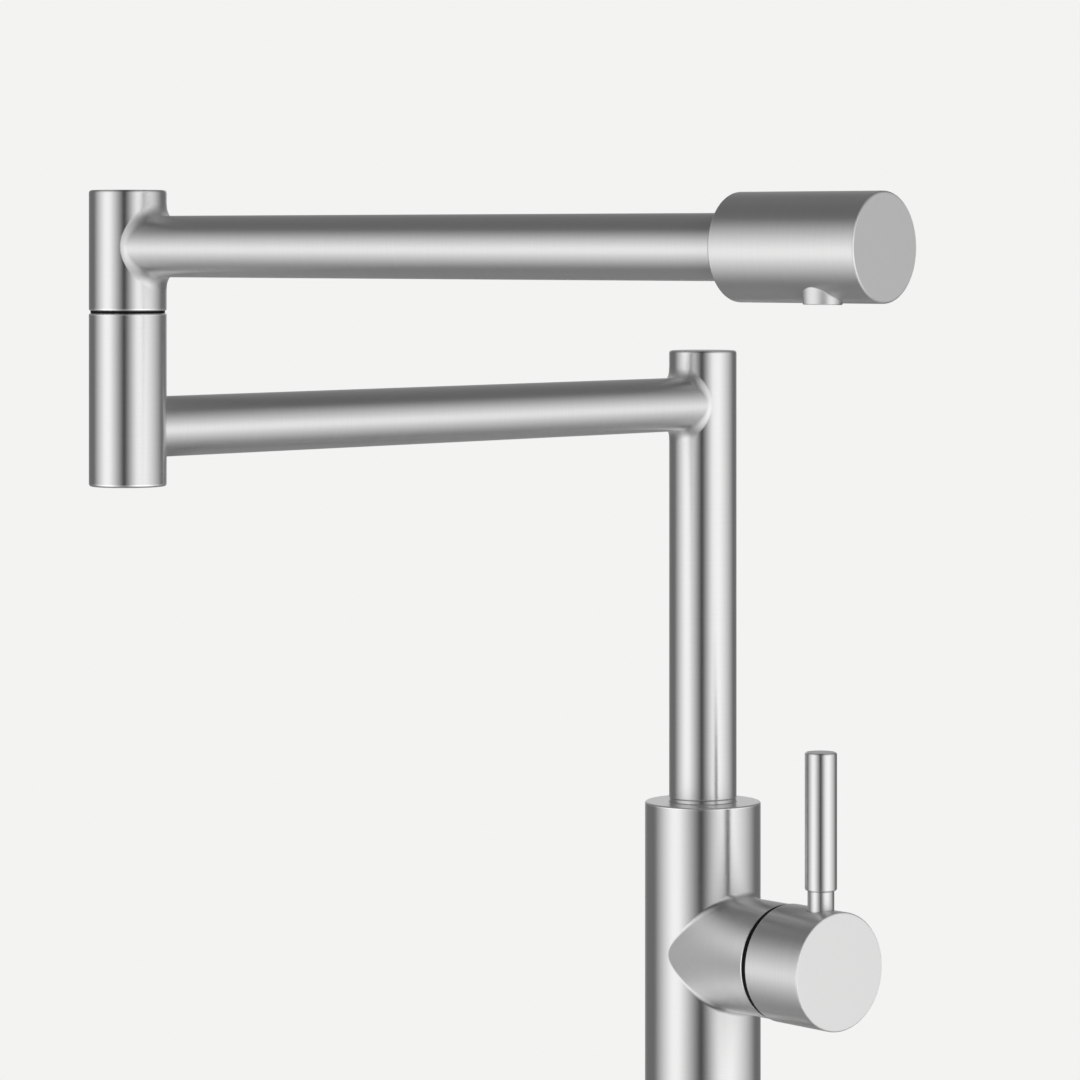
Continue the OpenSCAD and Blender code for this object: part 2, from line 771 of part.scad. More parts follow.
module outlet_nozzle() {
    color(steel) at_outlet() difference() {
        cylinder(r = outlet_r, h = outlet_top_len);
        translate([0, 0, -cut]) cylinder(r = outlet_bore_r, h = insert_up + insert_t + outlet_seal_t + cut);
        cylinder(r = outlet_bore_r - outlet_lip, h = outlet_top_len + cut);
    }
}

module flow_insert() {
    color(pale_plastic) at_outlet() translate([0, 0, insert_up]) difference() {
        cylinder(r = outlet_bore_r, h = insert_t);
        translate([0, 0, -cut]) cylinder(r = insert_hole_r, h = insert_t + 2 * cut);
        for (k = [0 : insert_holes - 1]) rotate([0, 0, 360 * k / insert_holes])
            translate([insert_ring_r, 0, -cut]) cylinder(r = insert_hole_r, h = insert_t + 2 * cut);
    }
}

module outlet_seal() {
    color(rubber) at_outlet() translate([0, 0, insert_up + insert_t])
        pipe(outlet_bore_r, outlet_bore_r - outlet_lip, outlet_seal_t);
}

base_ring();
deck_gasket();
mounting_shank();
clamp_gasket();
clamp_washer();
lock_nut();
body_shell();
mixing_block();
cartridge_body();
cartridge_seals();
ceramic_disc_fixed();
ceramic_disc_moving();
cartridge_spindle();
cartridge_nut();
hub_guide_ring();
lever_cap();
cap_set_screw();
lever_neck();
lever_rod();
riser_bush();
riser_slide_ring();
riser_spigot();
riser_o_rings();
riser_set_screw();
riser_tube();
riser_cap();
lower_arm_tube();
lower_post();
lower_post_cap();
elbow_bush();
elbow_washer();
elbow_spigot();
elbow_o_rings();
elbow_set_screw();
upper_post();
upper_post_cap();
upper_arm_tube();
head_shell();
head_end_cap();
outlet_nozzle();
flow_insert();
outlet_seal();
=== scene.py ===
"""Looks of a folding pot filler tap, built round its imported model.

Lengths are in metres, in the tap's own frame: the body's axis is Z, the lever is on the +X side and
the front is -Y. Each turned piece is drawn about its own Z axis and then put in its place.
"""

import json
import logging
import math
from collections.abc import Callable, Iterable, Sequence
from dataclasses import dataclass
from enum import Enum
from itertools import pairwise
from typing import NamedTuple

import bpy
from mathutils import Matrix, Vector


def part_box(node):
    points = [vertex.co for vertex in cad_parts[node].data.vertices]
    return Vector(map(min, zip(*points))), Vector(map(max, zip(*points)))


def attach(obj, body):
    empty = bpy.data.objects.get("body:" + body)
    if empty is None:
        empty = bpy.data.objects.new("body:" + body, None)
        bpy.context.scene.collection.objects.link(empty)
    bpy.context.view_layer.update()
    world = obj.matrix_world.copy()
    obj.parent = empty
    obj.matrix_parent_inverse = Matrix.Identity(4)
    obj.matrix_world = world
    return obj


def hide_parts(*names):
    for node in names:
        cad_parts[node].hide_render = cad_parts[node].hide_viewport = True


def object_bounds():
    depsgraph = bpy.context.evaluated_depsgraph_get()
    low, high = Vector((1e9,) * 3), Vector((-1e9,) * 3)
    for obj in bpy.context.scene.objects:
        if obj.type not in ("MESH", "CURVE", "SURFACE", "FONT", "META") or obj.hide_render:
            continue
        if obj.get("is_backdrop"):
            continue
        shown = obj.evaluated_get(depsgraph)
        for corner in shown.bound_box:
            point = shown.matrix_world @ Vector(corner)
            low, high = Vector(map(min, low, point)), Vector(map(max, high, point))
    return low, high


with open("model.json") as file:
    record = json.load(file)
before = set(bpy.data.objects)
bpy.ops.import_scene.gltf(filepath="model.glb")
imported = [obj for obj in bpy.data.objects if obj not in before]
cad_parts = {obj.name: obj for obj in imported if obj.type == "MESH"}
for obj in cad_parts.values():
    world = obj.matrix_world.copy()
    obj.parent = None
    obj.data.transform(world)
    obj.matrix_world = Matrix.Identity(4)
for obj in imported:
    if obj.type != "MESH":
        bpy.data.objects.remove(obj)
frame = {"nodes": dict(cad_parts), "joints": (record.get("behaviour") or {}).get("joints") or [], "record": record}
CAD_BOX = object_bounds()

LOG = logging.getLogger("tap")
MM = 0.001
GRAIN = "grain"
FULL_TURN = 2 * math.pi
QUARTER = math.pi / 2
LYING = Matrix(((0, 0, 1, 0), (0, -1, 0, 0), (1, 0, 0, 0), (0, 0, 0, 1)))
NOISE_SPREAD = (0.3, 0.7)
QUARTER_ROTATION = 0.25


class Lay(Enum):
    """Where a finish takes the direction of its grain from."""

    TURNED = "the grain that a skin stores"
    CARRIED = "the piece's own axes"


class Face(Enum):
    """The slot of a skin that a stretch of it is dressed with."""

    MAIN = 0
    END = 1


class Wire:
    """A number that runs through a node tree, with the usual arithmetic on it."""

    def __init__(self, tree: "Tree", socket: bpy.types.NodeSocket) -> None:
        """Wraps a socket.

        Args:
            tree: The tree that the socket is in.
            socket: The output that carries the number.
        """
        self.tree = tree
        self.socket = socket

    def maths(self, operation: str, *values: "Wire | float") -> "Wire":
        """Adds one Math node.

        Args:
            operation: The node's operation.
            values: The node's inputs, in order.

        Returns:
            The node's result.
        """
        node = self.tree.node("ShaderNodeMath", {"operation": operation}, dict(enumerate(values)))
        return Wire(self.tree, node.outputs[0])

    def __add__(self, other: "Wire | float") -> "Wire":
        """Returns the sum."""
        return self.maths("ADD", self, other)

    def __radd__(self, other: float) -> "Wire":
        """Returns the sum."""
        return self.maths("ADD", other, self)

    def __sub__(self, other: "Wire | float") -> "Wire":
        """Returns the difference."""
        return self.maths("SUBTRACT", self, other)

    def __rsub__(self, other: float) -> "Wire":
        """Returns the difference from a plain number."""
        return self.maths("SUBTRACT", other, self)

    def __mul__(self, other: "Wire | float") -> "Wire":
        """Returns the product."""
        return self.maths("MULTIPLY", self, other)

    def __rmul__(self, other: float) -> "Wire":
        """Returns the product."""
        return self.maths("MULTIPLY", other, self)

    def __truediv__(self, other: "Wire | float") -> "Wire":
        """Returns the quotient."""
        return self.maths("DIVIDE", self, other)

    def clamp(self) -> "Wire":
        """Returns the number held between 0 and 1."""
        return self.maths("MINIMUM", self.maths("MAXIMUM", self, 0.0), 1.0)

    def rise(self, start: float, full: float) -> "Wire":
        """Returns 0 at start and 1 at full, straight in between and level outside.

        Args:
            start: The number where the rise begins.
            full: The number where it ends, which may be the lower one.

        Returns:
            The risen share.
        """
        return ((self - start) / (full - start)).clamp()

    def rise_between(self, degrees: tuple[float, float]) -> "Wire":
        """Returns the rise of an angle in radians between two angles in degrees."""
        return self.rise(math.radians(degrees[0]), math.radians(degrees[1]))


class Tree:
    """A node tree that is being drawn."""

    def __init__(self, tree: bpy.types.NodeTree) -> None:
        """Clears a tree.

        Args:
            tree: The tree of a material or a world.
        """
        self.tree = tree
        tree.nodes.clear()

    def node(
        self, kind: str, settings: dict[str, object] | None = None,
        sockets: dict[str | int, object] | None = None,
    ) -> bpy.types.Node:
        """Adds a node.

        Args:
            kind: The node's type.
            settings: The node's own settings.
            sockets: A value, a socket or a wire for each input, by name or number.

        Returns:
            The node.
        """
        node = self.tree.nodes.new(kind)
        for name, value in (settings or {}).items():
            setattr(node, name, value)
        for name, value in (sockets or {}).items():
            if isinstance(value, Wire):
                self.tree.links.new(value.socket, node.inputs[name])
            elif isinstance(value, bpy.types.NodeSocket):
                self.tree.links.new(value, node.inputs[name])
            else:
                node.inputs[name].default_value = value
        return node

    def wire(self, socket: bpy.types.NodeSocket) -> Wire:
        """Returns a socket as a number to reckon with."""
        return Wire(self, socket)

    def stretched(self, coordinates: bpy.types.NodeSocket, stretch: Sequence[float]) -> bpy.types.NodeSocket:
        """Scales coordinates by a vector.

        Args:
            coordinates: The coordinates.
            stretch: The factor along each axis.

        Returns:
            The scaled coordinates.
        """
        settings = {"operation": "MULTIPLY"}
        return self.node("ShaderNodeVectorMath", settings, {0: coordinates, 1: stretch}).outputs[0]

    def noise(self, coordinates: bpy.types.NodeSocket, stretch: Sequence[float], detail: float = 2.0) -> Wire:
        """Adds a noise that is drawn out along some axes.

        Args:
            coordinates: The coordinates to read it at.
            stretch: How often it changes in a metre along each axis.
            detail: How many finer layers it has.

        Returns:
            The noise, about 0.5 on average.
        """
        sockets = {"Vector": self.stretched(coordinates, stretch), "Scale": 1.0, "Detail": detail}
        return self.wire(self.node("ShaderNodeTexNoise", None, sockets).outputs[0])

    def blend(self, share: Wire, low: Sequence[float], high: Sequence[float]) -> bpy.types.NodeSocket:
        """Mixes two plain colours.

        Args:
            share: The share of the second colour.
            low: The first colour.
            high: The second colour.

        Returns:
            The mixed colour.
        """
        factor, first, second, result = 0, 6, 7, 2
        sockets = {factor: share, first: (*low, 1.0), second: (*high, 1.0)}
        return self.node("ShaderNodeMix", {"data_type": "RGBA"}, sockets).outputs[result]

    def coordinates(self, lay: Lay) -> bpy.types.NodeSocket:
        """Returns the coordinates that a grain follows.

        Args:
            lay: Where the grain's direction comes from.

        Returns:
            The coordinates, in metres.
        """
        if lay is Lay.TURNED:
            return self.node("ShaderNodeAttribute", {"attribute_name": GRAIN}).outputs["Vector"]
        return self.node("ShaderNodeTexCoord").outputs["Object"]


def shade(colour: Sequence[float], factor: float) -> tuple[float, ...]:
    """Returns a colour made lighter or darker by a factor."""
    return tuple(min(1.0, part * factor) for part in colour)


@dataclass(frozen=True)
class Finish:
    """A finish whose grain shows in its colour, its roughness and its surface.

    Attributes:
        name: The material's name.
        colour: The mean colour.
        metallic: 1 for metal and 0 for anything else.
        roughness: The mean roughness.
        across: How much rougher it looks along the piece's axis than round it.
        shade_range: How far the colour departs from its mean, as a share.
        rough_range: How far the roughness departs from its mean.
        fine: How often the fine grain changes in a metre, round the piece and along it.
        broad: How often the broad grain does.
        depth: The height of the fine grain.
        shine: How strongly it mirrors where it isn't metal, 0.5 being usual.
    """

    name: str
    colour: tuple[float, float, float]
    metallic: float
    roughness: float
    across: float = 0.0
    shade_range: float = 0.03
    rough_range: float = 0.03
    fine: tuple[float, float] = (150.0, 6000.0)
    broad: tuple[float, float] = (25.0, 900.0)
    depth: float = 0.002 * MM
    shine: float = 0.5

    def material(self, lay: Lay = Lay.TURNED) -> bpy.types.Material:
        """Returns the finish as a material, made once for each lay.

        Args:
            lay: Where the grain's direction comes from.

        Returns:
            The material.
        """
        name = self.name if lay is Lay.TURNED else self.name + "_inside"
        known = bpy.data.materials.get(name)
        if known:
            return known
        material = bpy.data.materials.new(name)
        material.use_nodes = True
        tree = Tree(material.node_tree)
        at = tree.coordinates(lay)
        fine = tree.noise(at, (self.fine[0], self.fine[0], self.fine[1]))
        broad = tree.noise(at, (self.broad[0], self.broad[0], self.broad[1]))
        grain = ((fine + broad) / 2).rise(*NOISE_SPREAD)
        dark, pale = (shade(self.colour, 1 + side * self.shade_range) for side in (-1, 1))
        bump = tree.node("ShaderNodeBump", None, {"Strength": 1.0, "Distance": self.depth, "Height": fine})
        shader = tree.node("ShaderNodeBsdfPrincipled", None, {
            "Base Color": tree.blend(grain, dark, pale),
            "Metallic": self.metallic,
            "Roughness": self.roughness + self.rough_range * (grain - 0.5),
            "Specular IOR Level": self.shine,
            "Anisotropic": self.across,
            "Anisotropic Rotation": QUARTER_ROTATION,
            "Normal": bump.outputs[0],
        })
        tree.node("ShaderNodeOutputMaterial", None, {"Surface": shader.outputs[0]})
        material.diffuse_color = (*self.colour, 1.0)
        return material


BRUSHED_STEEL = Finish("steel_brushed_round", (0.75, 0.75, 0.745), 1.0, 0.35, across=1.0)
GROUND_STEEL = Finish("steel_ground_flat", (0.69, 0.69, 0.685), 1.0, 0.42, shade_range=0.012,
                      fine=(2500.0, 2500.0), broad=(300.0, 300.0))
# A brighter, smoother copy of the steel for turned ends and for the rims beside the gaps; its extra brightness
# over the brushed steel is a painted highlight along those rims.
TURNED_AND_HIGHLIGHT_STEEL = Finish("steel_turned_face_and_highlight", (0.86, 0.86, 0.855), 1.0, 0.3, shade_range=0.02,
                      fine=(2500.0, 2500.0), broad=(300.0, 300.0))
PLAIN_STEEL = Finish("steel_turned_plain", (0.50, 0.50, 0.49), 1.0, 0.3, across=0.5)
BRASS = Finish("brass_turned", (0.78, 0.58, 0.27), 1.0, 0.3, across=0.6, shade_range=0.05)
RUBBER = Finish("rubber_moulded", (0.018, 0.018, 0.018), 0.0, 0.75, shade_range=0.2,
                fine=(1800.0, 1800.0), broad=(250.0, 250.0), depth=0.02 * MM)
BLACK_PLASTIC = Finish("plastic_moulded_black", (0.008, 0.008, 0.008), 0.0, 0.55, shade_range=0.2,
                       fine=(1500.0, 1500.0), broad=(200.0, 200.0), depth=0.01 * MM, shine=0.1)
GREY_PLASTIC = Finish("plastic_moulded_grey", (0.23, 0.23, 0.24), 0.0, 0.45, shade_range=0.05,
                      fine=(1500.0, 1500.0), broad=(200.0, 200.0), depth=0.01 * MM)
PALE_PLASTIC = Finish("plastic_moulded_pale", (0.72, 0.72, 0.70), 0.0, 0.4,
                      fine=(1500.0, 1500.0), broad=(200.0, 200.0), depth=0.01 * MM)
CERAMIC = Finish("ceramic_lapped", (0.84, 0.83, 0.80), 0.0, 0.18, shade_range=0.02,
                 fine=(3000.0, 3000.0), broad=(400.0, 400.0))

FINISHES = {
    "brushed_steel": BRUSHED_STEEL,
    "plain_steel": PLAIN_STEEL,
    "brass": BRASS,
    "black_rubber": RUBBER,
    "black_plastic": BLACK_PLASTIC,
    "grey_plastic": GREY_PLASTIC,
    "pale_plastic": PALE_PLASTIC,
    "ceramic": CERAMIC,
}


class Station(NamedTuple):
    """A point of a turned outline, with the direction that the surface faces there.

    Attributes:
        r: Its distance from the axis.
        z: Its height.
        out: How far it faces away from the axis.
        up: How far it faces upward.
        along: How far along the outline it lies, which places its grain.
        face: The slot of the stretch that starts at it.
    """

    r: float
    z: float
    out: float
    up: float
    along: float
    face: Face = Face.MAIN


class Spot(NamedTuple):
    """A point of a skin.

    Attributes:
        at: Its place.
        facing: The direction that it faces.
        grain: The place where the finish reads its grain.
    """

    at: Vector
    facing: Vector
    grain: Vector


class Corner(NamedTuple):
    """A corner of a turned outline.

    Attributes:
        r: Its distance from the axis.
        z: Its height.
        rounding: The radius that it is rounded with.
        face: The slot of the stretch that follows it.
    """

    r: float
    z: float
    rounding: float = 0.0
    face: Face = Face.MAIN


@dataclass(frozen=True)
class Outline:
    """A turned outline of straight stretches, with the solid on its left.

    Attributes:
        corners: The corners in order.
        steps: The number of faces across each rounded corner.
    """

    corners: tuple[Corner, ...]
    steps: int = 5

    def stations(self) -> list[Station]:
        """Draws the outline with its rounded corners.

        Returns:
            The outline's points from end to end.
        """
        found: list[Station] = []
        along = 0.0
        trimmed = 0.0
        count = len(self.corners)
        for index in range(count - 1):
            start, end = self.corners[index], self.corners[index + 1]
            way = Vector((end.r - start.r, end.z - start.z))
            length = way.length
            way.normalize()
            facing = Vector((way.y, -way.x))
            cut = 0.0
            turn = 0.0
            if end.rounding and index + 2 < count:
                after = self.corners[index + 2]
                onward = Vector((after.r - end.r, after.z - end.z)).normalized()
                turn = math.atan2(way.x * onward.y - way.y * onward.x, way.dot(onward))
                cut = end.rounding * abs(math.tan(turn / 2))
            for reach in (trimmed, length - cut):
                at = Vector((start.r, start.z)) + way * reach
                found.append(Station(at.x, at.y, facing.x, facing.y, along + reach, start.face))
            along += length
            trimmed = cut
            if cut:
                bend = math.copysign(end.rounding, turn)
                centre = Vector((found[-1].r, found[-1].z)) - facing * bend
                for step in range(1, self.steps):
                    angle = turn * step / self.steps
                    spun = Vector((facing.x * math.cos(angle) - facing.y * math.sin(angle),
                                   facing.x * math.sin(angle) + facing.y * math.cos(angle)))
                    at = centre + spun * bend
                    reach = along - cut + 2 * cut * step / self.steps
                    found.append(Station(at.x, at.y, spun.x, spun.y, reach, start.face))
        return found


class Span(NamedTuple):
    """A stretch round a wall or along it.

    Attributes:
        start: The angle or the height where it starts.
        end: The angle or the height where it ends.
        steps: The number of faces in it.
    """

    start: float
    end: float
    steps: int

    def stops(self) -> list[float]:
        """Returns the stretch's divisions, with both ends."""
        return [self.start + (self.end - self.start) * k / self.steps for k in range(self.steps + 1)]


def chain(start: float, *stretches: tuple[float, int]) -> tuple[Span, ...]:
    """Returns stretches that follow one another.

    Args:
        start: Where the first one starts.
        stretches: The end of each one, and the number of faces in it.

    Returns:
        The stretches.
    """
    starts = [start, *(end for end, _ in stretches)]
    return tuple(Span(begin, end, steps) for begin, (end, steps) in zip(starts, stretches))


def turned(angle: float, station: Station) -> Spot:
    """Turns a point of an outline about Z.

    Args:
        angle: The angle round the axis.
        station: The point.

    Returns:
        The spot of the turned shape.
    """
    side = Vector((math.cos(angle), math.sin(angle), 0.0))
    axis = Vector((0.0, 0.0, 1.0))
    facing = side * station.out + axis * station.up
    return Spot(side * station.r + axis * station.z, facing, side * station.r + axis * station.along)


def moved(place: Matrix, spot: Spot) -> Spot:
    """Returns a spot moved to a place, with its grain as it was."""
    return Spot(place @ spot.at, place.to_3x3() @ spot.facing, spot.grain)


def faced(row: Iterable[Spot], facing: Vector) -> list[Spot]:
    """Returns a row that faces another way."""
    return [Spot(spot.at, facing, spot.grain) for spot in row]


def full_circle(steps: int) -> list[float]:
    """Returns the angles of a full turn."""
    return [FULL_TURN * k / steps for k in range(steps)]


class Skin:
    """One closed mesh, sewn together from rows of spots.

    Attributes:
        WELD: The distance, in metres, within which two spots are one point.
        known: The number of the point in each cell of that width.
        points: The points' places.
        faces: Each face's points.
        spots: Each face's spots.
        slots: Each face's slot.
    """

    WELD = 1e-7

    def __init__(self) -> None:
        """Starts an empty skin."""
        self.known: dict[tuple[int, int, int], int] = {}
        self.points: list[Vector] = []
        self.faces: list[list[int]] = []
        self.spots: list[list[Spot]] = []
        self.slots: list[int] = []

    def point(self, at: Vector) -> int:
        """Looks up the point at a place, and adds it where none is known within a hair of it.

        Args:
            at: The place.

        Returns:
            The point's number.
        """
        x, y, z = (math.floor(part / self.WELD) for part in at)
        keys = [(x + i, y + j, z + k) for i in (0, 1) for j in (0, 1) for k in (0, 1)]
        number = next((self.known[key] for key in keys if key in self.known), len(self.points))
        if number == len(self.points):
            self.points.append(at)
        for key in keys:
            self.known.setdefault(key, number)
        return number

    def face(self, spots: Sequence[Spot], face: Face) -> None:
        """Adds one face, turned the way that its spots face.

        Args:
            spots: The face's corners in order.
            face: The slot that it is dressed with.
        """
        corners: dict[int, Spot] = {}
        for spot in spots:
            corners.setdefault(self.point(spot.at), spot)
        if len(corners) < 3:
            return
        order = list(corners)
        first, second, third, last = (self.points[order[k]] for k in (0, 1, 2, -1))
        if len(order) > 3:
            normal = (third - first).cross(last - second)
        else:
            normal = (second - first).cross(last - first)
        if normal.dot(sum((corners[k].facing for k in order), Vector())) < 0:
            order.reverse()
        self.faces.append(order)
        self.spots.append([corners[k] for k in order])
        self.slots.append(face.value)

    def sew(self, rows: Iterable[Sequence[Spot]], ring: bool, face: Face = Face.MAIN) -> None:
        """Joins neighbouring rows with faces.

        Args:
            rows: The rows, each with the same number of spots.
            ring: True where each row closes on itself.
            face: The slot that the faces are dressed with.
        """
        for low, high in pairwise(rows):
            count = len(low)
            for k in range(count if ring else count - 1):
                after = (k + 1) % count
                self.face([low[k], low[after], high[after], high[k]], face)

    def turn(
        self, corners: Sequence[Corner], angles: Sequence[float], place: Matrix | None = None,
        start: list[Spot] | None = None,
    ) -> list[Spot]:
        """Turns an outline about Z.

        Args:
            corners: The outline's corners.
            angles: The angles of a full turn.
            place: Where the turned shape goes, if not where it is.
            start: A row that is joined to the outline's first one.

        Returns:
            The last row.
        """
        lie = place or Matrix.Identity(4)
        stations = Outline(tuple(corners)).stations()
        rows = [[moved(lie, turned(angle, station)) for angle in angles] for station in stations]
        if start:
            self.sew([start, rows[0]], True, stations[0].face)
        for index in range(len(rows) - 1):
            self.sew(rows[index:index + 2], True, stations[index].face)
        return rows[-1]

    def piece(
        self, name: str, place: Matrix, body: str, slot: str, nodes: Sequence[str], end: Finish | None = None
    ) -> None:
        """Makes the skin an object of the scene.

        Args:
            name: The object's name.
            place: Where the skin's own frame lies.
            body: The body that it moves with.
            slot: The record's material slot, which gives the skin its finish.
            nodes: The nodes that it stands for.
            end: The finish of its end faces, where they have another one.
        """
        mesh = bpy.data.meshes.new(name)
        mesh.from_pydata(self.points, [], self.faces)
        mesh.materials.append(FINISHES[slot].material())
        if end:
            mesh.materials.append(end.material())
        mesh.polygons.foreach_set("material_index", self.slots)
        mesh.polygons.foreach_set("use_smooth", [True] * len(self.faces))
        corners = [spot for spots in self.spots for spot in spots]
        grain = mesh.attributes.new(GRAIN, "FLOAT_VECTOR", "CORNER")
        grain.data.foreach_set("vector", [part for spot in corners for part in spot.grain])
        mesh.normals_split_custom_set([spot.facing.normalized() for spot in corners])
        height = max(abs(point.z) for point in self.points)
        mesh.use_auto_texspace = False
        mesh.texspace_location = (0.0, 0.0, 0.0)
        mesh.texspace_size = (height, height, height)
        piece = bpy.data.objects.new(name, mesh)
        bpy.context.scene.collection.objects.link(piece)
        piece.matrix_world = place
        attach(piece, body)
        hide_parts(*nodes)
        LOG.info("%s: %d faces, for %s on %s", name, len(self.faces), ", ".join(nodes), body)


@dataclass(frozen=True)
class Mouth:
    """Where a side pipe, or a drilled hole, meets a round wall about Z.

    Attributes:
        wall_r: The wall's radius.
        pipe_r: The pipe's or the hole's radius.
        blend_r: The radius of the blend between a pipe and the wall, where it is narrowest.
        wide_side: 1 if the blend widens on the pipe's +Y side, -1 for its -Y side and 0 for neither.
        angle: The pipe's direction round the wall.
        z: The height of the pipe's axis.
        aside: How far the pipe's axis passes beside the wall's.
        hollow: True where the pipe is seen from inside, as a hole is.
        blend_steps: The number of faces across the blend.
        growth: How many times wider the blend is where it is widest.
    """

    SIDEWAYS = Matrix(((0, 0, 1, 0), (0, 1, 0, 0), (1, 0, 0, 0), (0, 0, 0, 1)))

    wall_r: float
    pipe_r: float
    blend_r: float = 0.0
    wide_side: int = 0
    angle: float = 0.0
    z: float = 0.0
    aside: float = 0.0
    hollow: bool = False
    blend_steps: int = 8
    growth: float = 5.5

    def blend(self, turn: float) -> float:
        """Returns the blend's radius at a turn round the pipe."""
        return self.blend_r * self.growth ** max(0.0, self.wide_side * math.sin(turn)) ** 2

    def ball(self, turn: float) -> Vector:
        """Finds the ball that rolls between the wall and the pipe.

        Args:
            turn: The turn round the pipe.

        Returns:
            The ball's centre, in the frame that has the pipe's direction as X.
        """
        reach = self.pipe_r + self.blend(turn)
        y = self.aside + reach * math.sin(turn)
        return Vector((math.sqrt((self.wall_r + self.blend(turn)) ** 2 - y * y), y, reach * math.cos(turn)))

    def place(self) -> Matrix:
        """Returns where the frame lies that has the pipe's direction as X."""
        return Matrix.Rotation(self.angle, 4, "Z") @ Matrix.Translation((0.0, 0.0, self.z))

    def pipe_place(self) -> Matrix:
        """Returns where a shape turned about Z goes to lie along the pipe."""
        return self.place() @ Matrix.Translation((0.0, self.aside, 0.0)) @ self.SIDEWAYS

    def rim(self, turn: float) -> tuple[float, float]:
        """Returns the angle and height where the wall ends at a turn round the pipe."""
        ball = self.ball(turn)
        return self.angle + math.atan2(ball.y, ball.x), self.z + ball.z

    def blend_rows(self, turns: Sequence[float]) -> list[list[Spot]]:
        """Draws the blend.

        Args:
            turns: The turns round the pipe.

        Returns:
            The blend's rows, from the wall to the pipe.
        """
        rows = []
        for step in range(self.blend_steps + 1):
            share = step / self.blend_steps
            row = []
            for turn in turns:
                ball = self.ball(turn)
                to_wall = -Vector((ball.x, ball.y, 0.0)).normalized()
                to_pipe = Vector((0.0, -math.sin(turn), -math.cos(turn)))
                way = to_wall.slerp(to_pipe, share)
                at = ball + way * self.blend(turn)
                row.append(moved(self.place(), Spot(at, -way, at)))
            rows.append(row)
        return rows

    def pipe_rim(self, turns: Sequence[float]) -> list[Spot]:
        """Draws the row where the pipe begins.

        Args:
            turns: The turns round the pipe.

        Returns:
            The row.
        """
        row = []
        out = -1.0 if self.hollow else 1.0
        for turn in turns:
            station = Station(self.pipe_r, self.ball(turn).x, out, 0.0, self.ball(turn).x)
            row.append(moved(self.pipe_place(), turned(turn, station)))
        return row

    def wall_rim(self, turns: Sequence[float], out: float) -> list[Spot]:
        """Draws the row where the wall ends, for a hidden face inside the joint.

        Args:
            turns: The turns round the pipe.
            out: 1 where the row faces along the pipe and -1 where it faces the wall's axis.

        Returns:
            The row.
        """
        row = []
        for turn in turns:
            angle, z = self.rim(turn)
            at = Vector((self.wall_r * math.cos(angle), self.wall_r * math.sin(angle), z))
            row.append(Spot(at, self.place().to_3x3() @ Vector((out, 0.0, 0.0)), at))
        return row

    def sew_pipe(self, skin: Skin, turns: Sequence[float], corners: Sequence[Corner]) -> list[Spot]:
        """Adds the blend and the pipe.

        Args:
            skin: The skin that they join.
            turns: The turns round the pipe where the wall ends.
            corners: The corners of the pipe's outline about Z, away from the wall.

        Returns:
            The pipe's last row.
        """
        if self.blend_r:
            skin.sew(self.blend_rows(turns), True)
        return skin.turn(corners, turns, self.pipe_place(), self.pipe_rim(turns))


@dataclass(frozen=True)
class Wall:
    """A round wall about Z in panels, some of them with a mouth.

    Attributes:
        r: The wall's radius.
        columns: The panels round the wall, a full turn in all.
        rows: The panels up the wall.
        inward: True where the wall faces its own axis.
        mouth_steps: The number of faces between a mouth and the edge of its panel.
    """

    r: float
    columns: tuple[Span, ...]
    rows: tuple[Span, ...]
    inward: bool = False
    mouth_steps: int = 6

    def spot(self, angle: float, z: float) -> Spot:
        """Returns the wall's spot at an angle and a height."""
        return turned(angle, Station(self.r, z, -1.0 if self.inward else 1.0, 0.0, z))

    def angles(self) -> list[float]:
        """Returns the angles of all panels, as one ring."""
        return [angle for column in self.columns for angle in column.stops()[:-1]]

    def sew(self, skin: Skin, mouths: dict[tuple[int, int], Mouth]) -> dict[tuple[int, int], list[float]]:
        """Adds the wall to a skin.

        Args:
            skin: The skin.
            mouths: The mouth of a panel, by the panel's column and row.

        Returns:
            The turns round each mouth's pipe where the wall ends.
        """
        turns = {}
        for i, column in enumerate(self.columns):
            for j, row in enumerate(self.rows):
                if (i, j) in mouths:
                    turns[i, j] = self.sew_mouth(skin, column, row, mouths[i, j])
                else:
                    skin.sew([[self.spot(angle, z) for angle in column.stops()] for z in row.stops()], False)
        return turns

    def sew_mouth(self, skin: Skin, column: Span, row: Span, mouth: Mouth) -> list[float]:
        """Adds one panel with a mouth.

        Args:
            skin: The skin.
            column: The panel's stretch round the wall.
            row: The panel's stretch up the wall.
            mouth: The mouth.

        Returns:
            The turns round the pipe where the wall ends.
        """
        across, up = column.stops(), row.stops()
        edge = [(angle, up[-1]) for angle in across[:-1]]
        edge += [(across[-1], z) for z in up[:0:-1]]
        edge += [(angle, up[0]) for angle in across[:0:-1]]
        edge += [(across[0], z) for z in up[:-1]]
        middle = ((column.start + column.end) / 2, (row.start + row.end) / 2)
        half = ((column.end - column.start) / 2, (row.end - row.start) / 2)
        turns = [math.atan2((angle - middle[0]) / half[0], (z - middle[1]) / half[1]) for angle, z in edge]
        rows = []
        for step in range(self.mouth_steps + 1):
            share = step / self.mouth_steps
            ring = []
            for turn, (angle, z) in zip(turns, edge):
                rim_angle, rim_z = mouth.rim(turn)
                ring.append(self.spot(rim_angle + (angle - rim_angle) * share, rim_z + (z - rim_z) * share))
            rows.append(ring)
        skin.sew(rows, True)
        return turns


def low(node: str) -> Vector:
    """Returns a node's lowest corner."""
    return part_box(node)[0]


def high(node: str) -> Vector:
    """Returns a node's highest corner."""
    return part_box(node)[1]


def middle(node: str) -> Vector:
    """Returns the middle of a node's box."""
    return (low(node) + high(node)) / 2


def foot_and_top(node: str) -> tuple[float, float]:
    """Returns the heights of a node's foot and top."""
    return low(node).z, high(node).z


def at_height(z: float) -> Matrix:
    """Returns a place on the body's axis."""
    return Matrix.Translation((0.0, 0.0, z))


